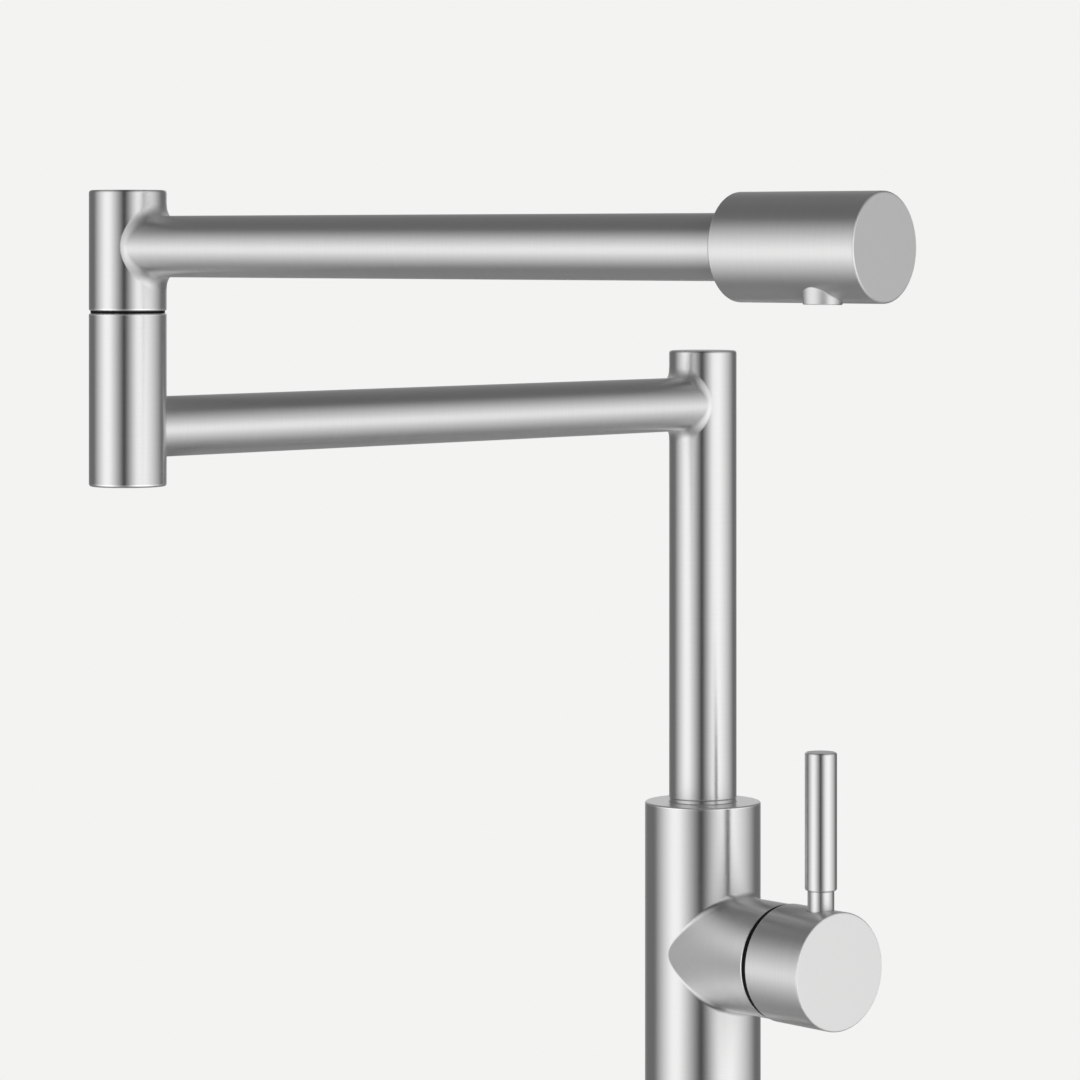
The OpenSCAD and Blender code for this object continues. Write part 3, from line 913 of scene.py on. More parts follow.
def upright(at: Vector, z: float, heading: float = 0.0) -> Matrix:
    """Returns a place on an upright axis, turned so that X follows a heading."""
    return Matrix.Translation((at.x, at.y, z)) @ Matrix.Rotation(heading, 4, "Z")


def wheel(corners: Sequence[Corner], steps: int = 144) -> Skin:
    """Returns the skin of a plain turned piece.

    Args:
        corners: The outline, open where it starts and ends on the axis, and else with its start again.
        steps: The number of faces round it.

    Returns:
        The skin.
    """
    skin = Skin()
    skin.turn(corners, full_circle(steps))
    return skin


def washer(r: float, bore: float, height: float, rounding: float) -> Skin:
    """Returns the skin of a flat ring with its foot at zero.

    Args:
        r: The outer radius.
        bore: The bore's radius.
        height: The ring's height.
        rounding: The radius of its outer edges.

    Returns:
        The skin.
    """
    return wheel([
        Corner(bore, height / 2), Corner(bore, 0.0), Corner(r, 0.0, rounding), Corner(r, height, rounding),
        Corner(bore, height), Corner(bore, height / 2),
    ])


@dataclass
class Clamp:
    """The base ring, the threaded shank and what clamps the tap from below.

    Attributes:
        ring_r: The base ring's radius.
        ring_edge: The rounding of its top edge.
        gasket_r: The deck gasket's radius.
        gasket_bore: The deck gasket's bore.
        gasket_play: The pocket's play round the gasket.
        thread_r: The thread's outer radius.
        thread_depth: The thread's depth.
        pitch: The thread's pitch.
        pilot_r: The radius of the plain lead-in.
        hose_way: The radius of the way for the hoses.
        flange_r: The radius of the shank's head inside the body.
        clamp_r: The radius of the two clamp washers.
        clamp_bore: The bore of the two clamp washers.
        nut_half: Half the nut's width across its flats.
        nut_chamfer: The nut's chamfer, measured in from its flats.
        nut_slope: The slope of the chamfer.
        flat: The share of the pitch that the thread's root and its crest each take.
        flank: The share that each of its flanks takes.
        steps: The number of faces round the shank.
        side_steps: The number of faces across each side of the nut.
    """

    ring_r: float = 26.0 * MM
    ring_edge: float = 0.8 * MM
    gasket_r: float = 24.4 * MM
    gasket_bore: float = 17.4 * MM
    gasket_play: float = 0.2 * MM
    thread_r: float = 16.5 * MM
    thread_depth: float = 0.92 * MM
    pitch: float = 1.5 * MM
    pilot_r: float = 15.5 * MM
    hose_way: float = 13.5 * MM
    flange_r: float = 20.9 * MM
    clamp_r: float = 26.0 * MM
    clamp_bore: float = 17.0 * MM
    nut_half: float = 21.0 * MM
    nut_chamfer: float = 0.6 * MM
    nut_slope: float = math.radians(30)
    flat: float = 0.12
    flank: float = 0.38
    steps: int = 96
    side_steps: int = 12

    def build(self) -> None:
        """Builds the base and the clamp."""
        self.base_ring()
        self.shank()
        for node, slot in (("clamp_gasket", "black_rubber"), ("clamp_washer", "plain_steel")):
            foot, top = foot_and_top(node)
            rounding = (top - foot) / 6
            skin = washer(self.clamp_r, self.clamp_bore, top - foot, rounding)
            skin.piece(node + "_skin", at_height(foot), "body", slot, [node])
        self.lock_nut()

    def base_ring(self) -> None:
        """Builds the base ring with its pocket, and the gasket that sits in it."""
        foot, top = foot_and_top("base_ring")
        gasket_top = high("deck_gasket").z
        bore = self.thread_r + self.gasket_play
        inner, outer = self.gasket_bore - self.gasket_play, self.gasket_r + self.gasket_play
        fine = self.gasket_play
        skin = wheel([
            Corner(bore, gasket_top), Corner(bore, foot), Corner(inner, foot), Corner(inner, gasket_top),
            Corner(outer, gasket_top), Corner(outer, foot), Corner(self.ring_r, foot, fine),
            Corner(self.ring_r, top, self.ring_edge), Corner(bore, top), Corner(bore, gasket_top),
        ])
        skin.piece("base_ring_skin", at_height(0.0), "body", "brushed_steel", ["base_ring"])
        skin = washer(self.gasket_r, self.gasket_bore, gasket_top, self.gasket_play)
        skin.piece("deck_gasket_skin", at_height(0.0), "body", "black_rubber", ["deck_gasket"])

    def thread_row(self, bottom: float, top: float, turn: float, r: float, facing: Vector) -> list[Spot]:
        """Returns one line of the thread, which climbs one pitch in a turn.

        Args:
            bottom: The thread's lower end.
            top: The thread's upper end.
            turn: The number of turns from the lower end to the line's start.
            r: The line's radius where the thread is whole.
            facing: The direction that the thread faces there, outward and up.

        Returns:
            The line's spots, over one full turn.
        """
        row = []
        root = self.thread_r - self.thread_depth
        for angle in Span(0.0, FULL_TURN, self.steps).stops():
            z = min(top, max(bottom, bottom + self.pitch * (turn + angle / FULL_TURN)))
            whole = min(1.0, (z - bottom) / self.pitch, (top - z) / self.pitch)
            shown = root + (r - root) * whole
            row.append(turned(angle, Station(shown, z, facing.x, facing.y, z)))
        return row

    def shank(self) -> None:
        """Builds the shank with its thread, its plain lead-in and the way for the hoses."""
        foot, top = foot_and_top("mounting_shank")
        flange_z = high("base_ring").z
        thread_foot = low("lock_nut").z - 2 * self.pitch
        root = self.thread_r - self.thread_depth
        angles = full_circle(self.steps)
        edge = self.thread_depth / 2
        skin = Skin()
        skin.turn([
            Corner(self.hose_way, thread_foot), Corner(self.hose_way, foot, edge),
            Corner(self.pilot_r, foot, edge), Corner(self.pilot_r, thread_foot), Corner(root, thread_foot),
        ], angles)
        skin.turn([
            Corner(root, 0.0), Corner(self.thread_r, 0.0), Corner(self.thread_r, flange_z),
            Corner(self.flange_r, flange_z), Corner(self.flange_r, top, edge),
            Corner(self.hose_way, top, edge), Corner(self.hose_way, thread_foot),
        ], angles)
        slope = Vector((self.flank * self.pitch, self.thread_depth)).normalized()
        outward = Vector((1.0, 0.0))
        climb, crest, fall = self.flat, self.flat + self.flank, 2 * self.flat + self.flank
        stretches = (
            (0.0, climb, root, root, outward),
            (climb, crest, root, self.thread_r, Vector((slope.x, -slope.y))),
            (crest, fall, self.thread_r, self.thread_r, outward),
            (fall, 1.0, self.thread_r, root, slope),
        )
        for turn in range(-1, round(-thread_foot / self.pitch)):
            for start, end, start_r, end_r, facing in stretches:
                skin.sew([
                    self.thread_row(thread_foot, 0.0, turn + start, start_r, facing),
                    self.thread_row(thread_foot, 0.0, turn + end, end_r, facing),
                ], False)
        skin.piece("mounting_shank_skin", at_height(0.0), "body", "brass", ["mounting_shank"])

    def lock_nut(self) -> None:
        """Builds the hexagon nut with its chamfered corners."""
        foot, top = foot_and_top("lock_nut")
        half_height = (top - foot) / 2
        bore = self.thread_r + self.gasket_play
        face_r = self.nut_half - self.nut_chamfer
        sides = 6
        half_side = FULL_TURN / (2 * sides)
        skin = Skin()
        for side in range(sides):
            centre = FULL_TURN * side / sides
            flat = Vector((math.cos(centre), math.sin(centre), 0.0))
            angles = Span(centre - half_side, centre + half_side, self.side_steps).stops()
            for end in (-1.0, 1.0):
                cone = (math.sin(self.nut_slope), end * math.cos(self.nut_slope))
                columns = []
                for angle in angles:
                    corner_r = self.nut_half / math.cos(angle - centre)
                    edge_z = end * (half_height - (corner_r - face_r) * math.tan(self.nut_slope))
                    stations = (
                        Station(bore, end * half_height, 0.0, end, bore),
                        Station(face_r, end * half_height, 0.0, end, face_r),
                        Station(face_r, end * half_height, *cone, face_r),
                        Station(corner_r, edge_z, *cone, edge_z),
                        Station(corner_r, 0.0, 1.0, 0.0, 0.0),
                        Station(bore, 0.0, -1.0, 0.0, 0.0),
                    )
                    columns.append([turned(angle, station) for station in stations])
                bore_end, face, cone_start, cone_end, girth, bore_middle = zip(*columns)
                skin.sew([bore_end, face], False)
                skin.sew([cone_start, cone_end], False)
                skin.sew([faced(cone_end, flat), faced(girth, flat)], False)
                bore_rim = [Spot(spot.at, to.facing, spot.grain) for spot, to in zip(bore_end, bore_middle)]
                skin.sew([bore_middle, bore_rim], False)
        skin.piece("lock_nut_skin", at_height(foot + half_height), "body", "brass", ["lock_nut"])


@dataclass
class Body:
    """The body tube with its hub, and the rings that close its gaps.

    Attributes:
        r: The body's radius.
        bore: The body's inner radius.
        edge: The rounding of the body's ends.
        head_bore: The radius of the bearing's bore.
        waist_bore: The radius of the bore under the bearing.
        hub_r: The hub's radius.
        hub_bore: The hub's inner radius.
        hub_blend: The radius of the weld between the hub and the body.
        hub_edge: The rounding of the hub's end.
        gap_cut: How far the hub's end is dressed back from the gap.
        hub_panel: Half the width of the hub's panel, as an angle.
        ledge_drop: How far the ledge in the bore lies under the riser's bush.
        screw_r: The radius of the set screw's hole.
        guide_lip: How far the guide ring stands out over the hub's bore, nearly to the hub's outside, so that its
            black fills the gap as painted shade.
        guide_wall: The guide ring's wall.
        fine_edge: The rounding of inner edges.
    """

    r: float = 24.0 * MM
    bore: float = 21.0 * MM
    edge: float = 0.8 * MM
    head_bore: float = 14.1 * MM
    waist_bore: float = 12.0 * MM
    hub_r: float = 23.5 * MM
    hub_bore: float = 20.5 * MM
    hub_blend: float = 2.4 * MM
    hub_edge: float = 0.5 * MM
    gap_cut: float = 0.4 * MM
    hub_panel: float = math.radians(100)
    ledge_drop: float = 7.0 * MM
    screw_r: float = 2.2 * MM
    guide_lip: float = 2.9 * MM
    guide_wall: float = 1.6 * MM
    fine_edge: float = 0.2 * MM

    def build(self) -> None:
        """Builds the body and its rings."""
        self.shell()
        self.guide_ring()
        foot, top = foot_and_top("riser_slide_ring")
        skin = washer(self.head_bore - self.fine_edge, self.waist_bore, top - foot, self.fine_edge * 2)
        skin.piece("slide_ring_skin", at_height(foot), "body", "brushed_steel", ["riser_slide_ring"])

    def shell(self) -> None:
        """Builds the tube with the hub welded to it."""
        foot, top = foot_and_top("body_shell")
        hub_z = middle("lever_cap").z
        hub_end = high("body_shell").x - self.gap_cut
        bush_foot = low("riser_bush").z
        ledge = bush_foot - self.ledge_drop
        screw = middle("riser_set_screw")
        screw_angle = math.atan2(screw.y, screw.x)
        screw_half = 2 * self.screw_r
        screw_wide = screw_half / self.r
        reach = self.hub_r + self.hub_blend + self.edge
        columns = chain(
            -self.hub_panel, (self.hub_panel, 72), (screw_angle - screw_wide, 16),
            (screw_angle + screw_wide, 10), (FULL_TURN - self.hub_panel, 40))
        outer = Wall(self.r, columns, chain(
            foot + self.edge, (hub_z - reach, 4), (hub_z + reach, 40), (screw.z - screw_half, 2),
            (screw.z + screw_half, 8), (top - self.edge, 2)))
        inner = Wall(self.bore, columns, chain(
            foot + self.edge, (hub_z - reach, 1), (hub_z + reach, 40), (ledge - self.edge, 1)), inward=True)
        mouth = Mouth(self.r, self.hub_r, self.hub_blend, z=hub_z)
        hole = Mouth(self.r, self.screw_r, angle=screw_angle, z=screw.z, hollow=True)
        inner_mouth = Mouth(self.bore, self.hub_bore, z=hub_z, hollow=True)
        at_mouth, at_hole = (0, 1), (2, 3)
        skin = Skin()
        turns = outer.sew(skin, {at_mouth: mouth, at_hole: hole})
        hole.sew_pipe(skin, turns[at_hole], [Corner(self.screw_r, self.bore), Corner(0.0, self.bore)])
        last = mouth.sew_pipe(skin, turns[at_mouth], [
            Corner(self.hub_r, self.r + self.hub_blend + self.edge),
            Corner(self.hub_r, hub_end - self.hub_edge, 0.0, Face.END),
            Corner(self.hub_r, hub_end, self.hub_edge), Corner(self.hub_bore, hub_end),
            Corner(self.hub_bore, self.r),
        ])
        inner_turns = inner.sew(skin, {at_mouth: inner_mouth})[at_mouth]
        skin.sew([last, inner_mouth.pipe_rim(inner_turns)], True)
        skin.turn([
            Corner(self.r, top - self.edge, 0.0, Face.END), Corner(self.r, top, self.edge, Face.END),
            Corner(self.head_bore, top, self.fine_edge), Corner(self.head_bore, bush_foot),
            Corner(self.waist_bore, bush_foot), Corner(self.waist_bore, ledge), Corner(self.bore, ledge),
            Corner(self.bore, ledge - self.edge),
        ], outer.angles())
        skin.turn([
            Corner(self.bore, foot + self.edge), Corner(self.bore, foot),
            Corner(self.r, foot, self.fine_edge), Corner(self.r, foot + self.edge),
        ], outer.angles())
        # The end finish on the top and on the hub's rim is brighter than the body, a painted highlight on those
        # rims.
        skin.piece("body_skin", at_height(0.0), "body", "brushed_steel", ["body_shell"], TURNED_AND_HIGHLIGHT_STEEL)

    def guide_ring(self) -> None:
        """Builds the black ring in the gap between the hub and the cap, set nearly flush with the hub so that its
        black also stands in for the gap's shade (painted shade).
        """
        foot, end = low("hub_guide_ring").x, high("hub_guide_ring").x
        lip_x = high("body_shell").x - self.gap_cut
        sleeve = self.hub_bore - self.fine_edge / 2
        inner = sleeve - self.guide_wall
        lip = self.hub_bore + self.guide_lip
        skin = wheel([
            Corner(inner, lip_x - foot), Corner(inner, 0.0), Corner(sleeve, 0.0, self.fine_edge),
            Corner(sleeve, lip_x - foot), Corner(lip, lip_x - foot), Corner(lip, end - foot, self.fine_edge),
            Corner(inner, end - foot), Corner(inner, lip_x - foot),
        ])
        place = Matrix.Translation((foot, 0.0, middle("lever_cap").z)) @ Matrix.Rotation(QUARTER, 4, "Y")
        skin.piece("guide_ring_gap_shade_skin", place, "body", "black_plastic", ["hub_guide_ring"])


@dataclass
class Lever:
    """The lever cap with the pin lever that stands on it.

    Attributes:
        cap_r: The cap's radius.
        cap_edge: The rounding of the cap's outer end.
        foot_edge: The rounding of the cap's end beside the gap.
        gap_cut: How far that end is dressed back from the gap.
        rim: The wall of the cap round its hollow.
        hollow: The depth of the cap's hollow.
        boss_r: The radius of the boss in the hollow.
        socket_r: The radius of the socket for the spindle.
        socket: The depth of the socket.
        neck_r: The neck's radius.
        neck_play: The ring left open round the neck.
        neck_sink: How far the neck goes into the cap.
        neck_edge: The rounding of the neck's ends.
        rod_r: The rod's radius.
        rod_edge: The rounding of the rod's ends.
        screw_r: The radius of the set screw's hole.
        seat_panel: Half the width of the neck's panel, as a multiple of its seat's radius.
        screw_panel: Half the width of the screw's panel, as a multiple of its radius.
        steps: The number of faces round the rod and the neck.
    """

    cap_r: float = 24.0 * MM
    cap_edge: float = 0.7 * MM
    foot_edge: float = 0.5 * MM
    gap_cut: float = 0.4 * MM
    rim: float = 3.0 * MM
    hollow: float = 13.0 * MM
    boss_r: float = 12.0 * MM
    socket_r: float = 6.05 * MM
    socket: float = 15.0 * MM
    neck_r: float = 5.4 * MM
    neck_play: float = 0.45 * MM
    neck_sink: float = 2.0 * MM
    neck_edge: float = 0.5 * MM
    rod_r: float = 6.5 * MM
    rod_edge: float = 0.8 * MM
    screw_r: float = 2.55 * MM
    seat_panel: float = 1.3
    screw_panel: float = 1.6
    steps: int = 96

    def build(self) -> None:
        """Builds the cap, the neck and the rod."""
        self.cap()
        foot, top = foot_and_top("lever_rod")
        at = middle("lever_rod")
        rod = wheel([
            Corner(0.0, 0.0), Corner(self.rod_r, 0.0, self.rod_edge),
            Corner(self.rod_r, top - foot, self.rod_edge, Face.END), Corner(0.0, top - foot),
        ], self.steps)
        rod.piece("lever_rod_skin", upright(at, foot), "lever", "brushed_steel", ["lever_rod"], GROUND_STEEL)
        neck_foot = middle("lever_cap").z + self.cap_r - self.neck_sink
        neck = wheel([
            Corner(0.0, 0.0), Corner(self.neck_r, 0.0, self.neck_edge),
            Corner(self.neck_r, foot - neck_foot, self.neck_edge), Corner(0.0, foot - neck_foot),
        ], self.steps)
        neck.piece("lever_neck_skin", upright(at, neck_foot), "lever", "brushed_steel", ["lever_neck"])

    def cap(self) -> None:
        """Builds the hollow cap with the neck's seat and the set screw's hole."""
        start, end = low("lever_cap").x + self.gap_cut, high("lever_cap").x
        length = end - start
        seat_x = middle("lever_rod").x - start
        screw_x = middle("cap_set_screw").x - start
        seat_r = self.neck_r + self.neck_play
        seat_half, screw_half = self.seat_panel * seat_r, self.screw_panel * self.screw_r
        wide, narrow = seat_half / self.cap_r, screw_half / self.cap_r
        columns = chain(
            -wide, (wide, 24), (math.pi - narrow, 48), (math.pi + narrow, 12), (FULL_TURN - wide, 48))
        wall = Wall(self.cap_r, columns, chain(
            self.foot_edge, (screw_x - screw_half, 2), (screw_x + screw_half, 10), (seat_x - seat_half, 2),
            (seat_x + seat_half, 16), (length - self.cap_edge, 2)))
        seat = Mouth(self.cap_r, seat_r, z=seat_x, hollow=True)
        hole = Mouth(self.cap_r, self.screw_r, angle=math.pi, z=screw_x, hollow=True)
        at_seat, at_hole = (0, 3), (2, 1)
        floor = self.cap_r - self.neck_sink
        inner = self.cap_r - self.rim
        skin = Skin()
        turns = wall.sew(skin, {at_seat: seat, at_hole: hole})
        seat.sew_pipe(skin, turns[at_seat], [Corner(seat_r, floor), Corner(0.0, floor)])
        hole.sew_pipe(skin, turns[at_hole], [Corner(self.screw_r, inner), Corner(0.0, inner)])
        skin.turn([
            Corner(self.cap_r, length - self.cap_edge), Corner(self.cap_r, length, self.cap_edge, Face.END),
            Corner(0.0, length),
        ], wall.angles())
        skin.turn([
            Corner(0.0, self.socket), Corner(self.socket_r, self.socket), Corner(self.socket_r, 0.0),
            Corner(self.boss_r, 0.0), Corner(self.boss_r, self.hollow), Corner(inner, self.hollow),
            Corner(inner, 0.0, 0.0, Face.END), Corner(self.cap_r, 0.0, self.foot_edge),
            Corner(self.cap_r, self.foot_edge),
        ], wall.angles())
        place = Matrix.Translation((start, 0.0, middle("lever_cap").z)) @ LYING
        skin.piece("lever_cap_skin", place, "lever", "brushed_steel", ["lever_cap"], GROUND_STEEL)


@dataclass(frozen=True)
class Tube:
    """The sizes that the riser, the posts and the arms share.

    Attributes:
        stem_r: The radius of the riser and the posts.
        stem_bore: Their inner radius.
        stem_edge: The rounding of their closed ends.
        gap_edge: The rounding beside the elbow's gap.
        arm_r: The arms' radius.
        arm_bore: Their inner radius.
        blend_r: The radius of the blend where an arm branches off, at its narrowest.
        cap_t: The thickness of the discs that close the ends.
        screw_r: The radius of a set screw's hole.
        fine_edge: The rounding of inner edges.
        branch_panel: Half the width of a branch's panel, as an angle.
    """

    stem_r: float = 14.0 * MM
    stem_bore: float = 12.0 * MM
    stem_edge: float = 1.0 * MM
    gap_edge: float = 0.8 * MM
    arm_r: float = 11.0 * MM
    arm_bore: float = 9.5 * MM
    blend_r: float = 4.5 * MM
    cap_t: float = 3.0 * MM
    screw_r: float = 2.2 * MM
    fine_edge: float = 0.2 * MM
    branch_panel: float = math.radians(85)

    def mouth(self, wide_side: int, arm_z: float = 0.0) -> Mouth:
        """Returns the mouth of a post where an arm branches off along +X."""
        return Mouth(self.stem_r, self.arm_r, self.blend_r, wide_side, z=arm_z)

    def bore_mouth(self, arm_z: float = 0.0) -> Mouth:
        """Returns the mouth of the post's bore."""
        return Mouth(self.stem_bore, self.arm_bore, z=arm_z, hollow=True)

    def panel(self) -> tuple[Span, Span]:
        """Returns the panel round a branch, across and up, with the branch at height 0."""
        reach = self.arm_r + self.blend_r + self.gap_edge
        return Span(-self.branch_panel, self.branch_panel, 64), Span(-reach, reach, 32)

    def tee(self, length: float, arm_z: float, foot_edge: float, wide_side: int) -> Skin:
        """Returns the skin of an upright tube with a mouth towards +X and a closed top.

        Args:
            length: The tube's length.
            arm_z: The height of the branch's axis above the tube's foot.
            foot_edge: The rounding of the tube's foot.
            wide_side: The side of the branch where the blend widens, 1 for +Y and -1 for -Y.

        Returns:
            The skin, with the tube's foot at zero.
        """
        across, up = self.panel()
        columns = chain(across.start, (across.end, across.steps), (FULL_TURN + across.start, 60))
        start, end = arm_z + up.start, arm_z + up.end
        roof = length - self.cap_t
        outer = Wall(self.stem_r, columns, chain(
            foot_edge, (start, 4), (end, up.steps), (length - self.stem_edge, 2)))
        inner = Wall(self.stem_bore, columns, chain(
            foot_edge, (start, 1), (end, up.steps), (roof, 1)), inward=True)
        mouth, bore = self.mouth(wide_side, arm_z), self.bore_mouth(arm_z)
        branch = (0, 1)
        skin = Skin()
        turns = outer.sew(skin, {branch: mouth})[branch]
        inner.sew(skin, {branch: bore})
        skin.sew([mouth.wall_rim(turns, 1.0), bore.wall_rim(turns, 1.0)], True)
        skin.turn([
            Corner(self.stem_r, length - self.stem_edge),
            Corner(self.stem_r, length, self.stem_edge, Face.END), Corner(0.0, length),
        ], outer.angles())
        skin.turn([Corner(0.0, roof), Corner(self.stem_bore, roof)], outer.angles())
        skin.turn([
            Corner(self.stem_bore, foot_edge), Corner(self.stem_bore, 0.0, 0.0, Face.END),
            Corner(self.stem_r, 0.0, foot_edge), Corner(self.stem_r, foot_edge),
        ], outer.angles())
        return skin

    def arm(self, length: float, post_r: float, wide_side: int) -> Skin:
        """Returns the skin of an arm with the blend that joins it to its post.

        Args:
            length: The length from the post's axis.
            post_r: The radius of the post that its far end is cut to, or 0 for a square end.
            wide_side: The side where the post's blend widens, as for the post's own skin.

        Returns:
            The skin, about Z with the post's axis at zero and the post's upward side along X.
        """
        # The arm's own frame has Y the other way round, and with it the wide side.
        mouth, bore = self.mouth(-wide_side), self.bore_mouth()
        across, up = self.panel()
        skin = Skin()
        turns = Wall(self.stem_r, (across,), (up,)).sew(Skin(), {(0, 0): mouth})[0, 0]
        back = Mouth.SIDEWAYS.inverted()
        rows = (mouth.wall_rim(turns, -1.0), bore.wall_rim(turns, -1.0), mouth.pipe_rim(turns),
                bore.pipe_rim(turns))
        outer_rim, inner_rim, outer_start, inner_start = ([moved(back, spot) for spot in row] for row in rows)
        skin.sew([outer_rim, inner_rim], True)
        blend = [[moved(back, spot) for spot in row] for row in mouth.blend_rows(turns)]
        skin.sew([self.regrained(row) for row in blend], True)
        ends = []
        for r, out, start in ((self.arm_r, 1.0, outer_start), (self.arm_bore, -1.0, inner_start)):
            stops = []
            for turn in turns:
                end = length - (math.sqrt(post_r ** 2 - (r * math.sin(turn)) ** 2) if post_r else 0.0)
                stops.append(turned(turn, Station(r, end, out, 0.0, end)))
            skin.sew([self.regrained(start), stops], True)
            ends.append(faced(stops, Vector((0.0, 0.0, 1.0))))
        skin.sew(ends, True)
        return skin

    @staticmethod
    def regrained(row: Sequence[Spot]) -> list[Spot]:
        """Returns a row with the grain taken round Z at each spot's place."""
        return [Spot(spot.at, spot.facing, spot.at.copy()) for spot in row]


TUBE = Tube()
ELBOW = Vector(next(joint for joint in frame["joints"] if joint["name"] == "elbow_swivel")["pos_m"])
LOWER_HEADING = math.atan2(ELBOW.y, ELBOW.x)


def from_elbow(at: Vector) -> Vector:
    """Returns the level way from the elbow's axis to a point."""
    return Vector((at.x - ELBOW.x, at.y - ELBOW.y, 0.0))


HEAD_END = from_elbow(middle("head_end_cap"))
UPPER_HEADING = math.atan2(HEAD_END.y, HEAD_END.x)


def level(at: Vector, z: float, heading: float, start: float = 0.0) -> Matrix:
    """Returns a place whose Z runs level along a heading, with X straight up.

    Args:
        at: A point on the upright axis that the level axis starts from.
        z: The level axis's height.
        heading: Its direction.
        start: How far along it the place lies.

    Returns:
        The place.
    """
    return upright(at, z, heading) @ Matrix.Translation((start, 0.0, 0.0)) @ LYING


@dataclass
class LowerSpout:
    """The riser, the lower arm and the elbow's lower half.

    Attributes:
        foot_edge: The rounding of the riser's foot.
        washer_in: How far the elbow's washer lies inside the posts.
        wide_side: The side where the riser's blend widens.
    """

    foot_edge: float = 0.5 * MM
    washer_in: float = 0.6 * MM
    wide_side: int = -1

    def build(self) -> None:
        """Builds the riser, the lower arm, the lower post and the washer."""
        body, slot = "lower_spout", "brushed_steel"
        foot, top = foot_and_top("riser_tube")
        arm_z = middle("lower_arm_tube").z
        axis = Vector((0.0, 0.0, 0.0))
        riser = TUBE.tee(top - foot, arm_z - foot, self.foot_edge, self.wide_side)
        riser.piece("riser_skin", upright(axis, foot, LOWER_HEADING), body, slot,
                    ["riser_tube", "riser_cap"], GROUND_STEEL)
        arm = TUBE.arm(Vector((ELBOW.x, ELBOW.y)).length, TUBE.stem_r, self.wide_side)
        arm.piece("lower_arm_skin", level(axis, arm_z, LOWER_HEADING), body, slot, ["lower_arm_tube"])
        self.lower_post()
        foot, top = foot_and_top("elbow_washer")
        ring = washer(TUBE.stem_r - self.washer_in, TUBE.arm_bore, top - foot, TUBE.fine_edge)
        ring.piece("elbow_washer_skin", upright(ELBOW, foot), body, "black_plastic", ["elbow_washer"])

    def lower_post(self) -> None:
        """Builds the lower post with its closed foot and the set screw's hole."""
        foot, top = foot_and_top("lower_post")
        screw = middle("elbow_set_screw")
        turn = math.atan2(screw.y - ELBOW.y, screw.x - ELBOW.x)
        length = top - foot
        screw_z = screw.z - foot
        half = 2 * TUBE.screw_r
        wide = half / TUBE.stem_r
        wall = Wall(TUBE.stem_r, chain(-wide, (wide, 16), (FULL_TURN - wide, 112)), chain(
            TUBE.stem_edge, (screw_z - half, 4), (screw_z + half, 12), (length - TUBE.gap_edge, 2)))
        hole = Mouth(TUBE.stem_r, TUBE.screw_r, z=screw_z, hollow=True)
        at_hole = (0, 1)
        skin = Skin()
        turns = wall.sew(skin, {at_hole: hole})[at_hole]
        hole.sew_pipe(skin, turns, [Corner(TUBE.screw_r, TUBE.stem_bore), Corner(0.0, TUBE.stem_bore)])
        skin.turn([
            Corner(TUBE.stem_r, length - TUBE.gap_edge, 0.0, Face.END),
            Corner(TUBE.stem_r, length, TUBE.gap_edge), Corner(TUBE.stem_bore, length),
            Corner(TUBE.stem_bore, TUBE.cap_t), Corner(0.0, TUBE.cap_t),
        ], wall.angles())
        skin.turn([
            Corner(0.0, 0.0, 0.0, Face.END), Corner(TUBE.stem_r, 0.0, TUBE.stem_edge),
            Corner(TUBE.stem_r, TUBE.stem_edge),
        ], wall.angles())
        # The end finish on the rim at the elbow's gap and on the foot is brighter, a painted highlight.
        skin.piece("lower_post_skin", upright(ELBOW, foot, turn), "lower_spout", "brushed_steel",
                   ["lower_post", "lower_post_cap"], TURNED_AND_HIGHLIGHT_STEEL)


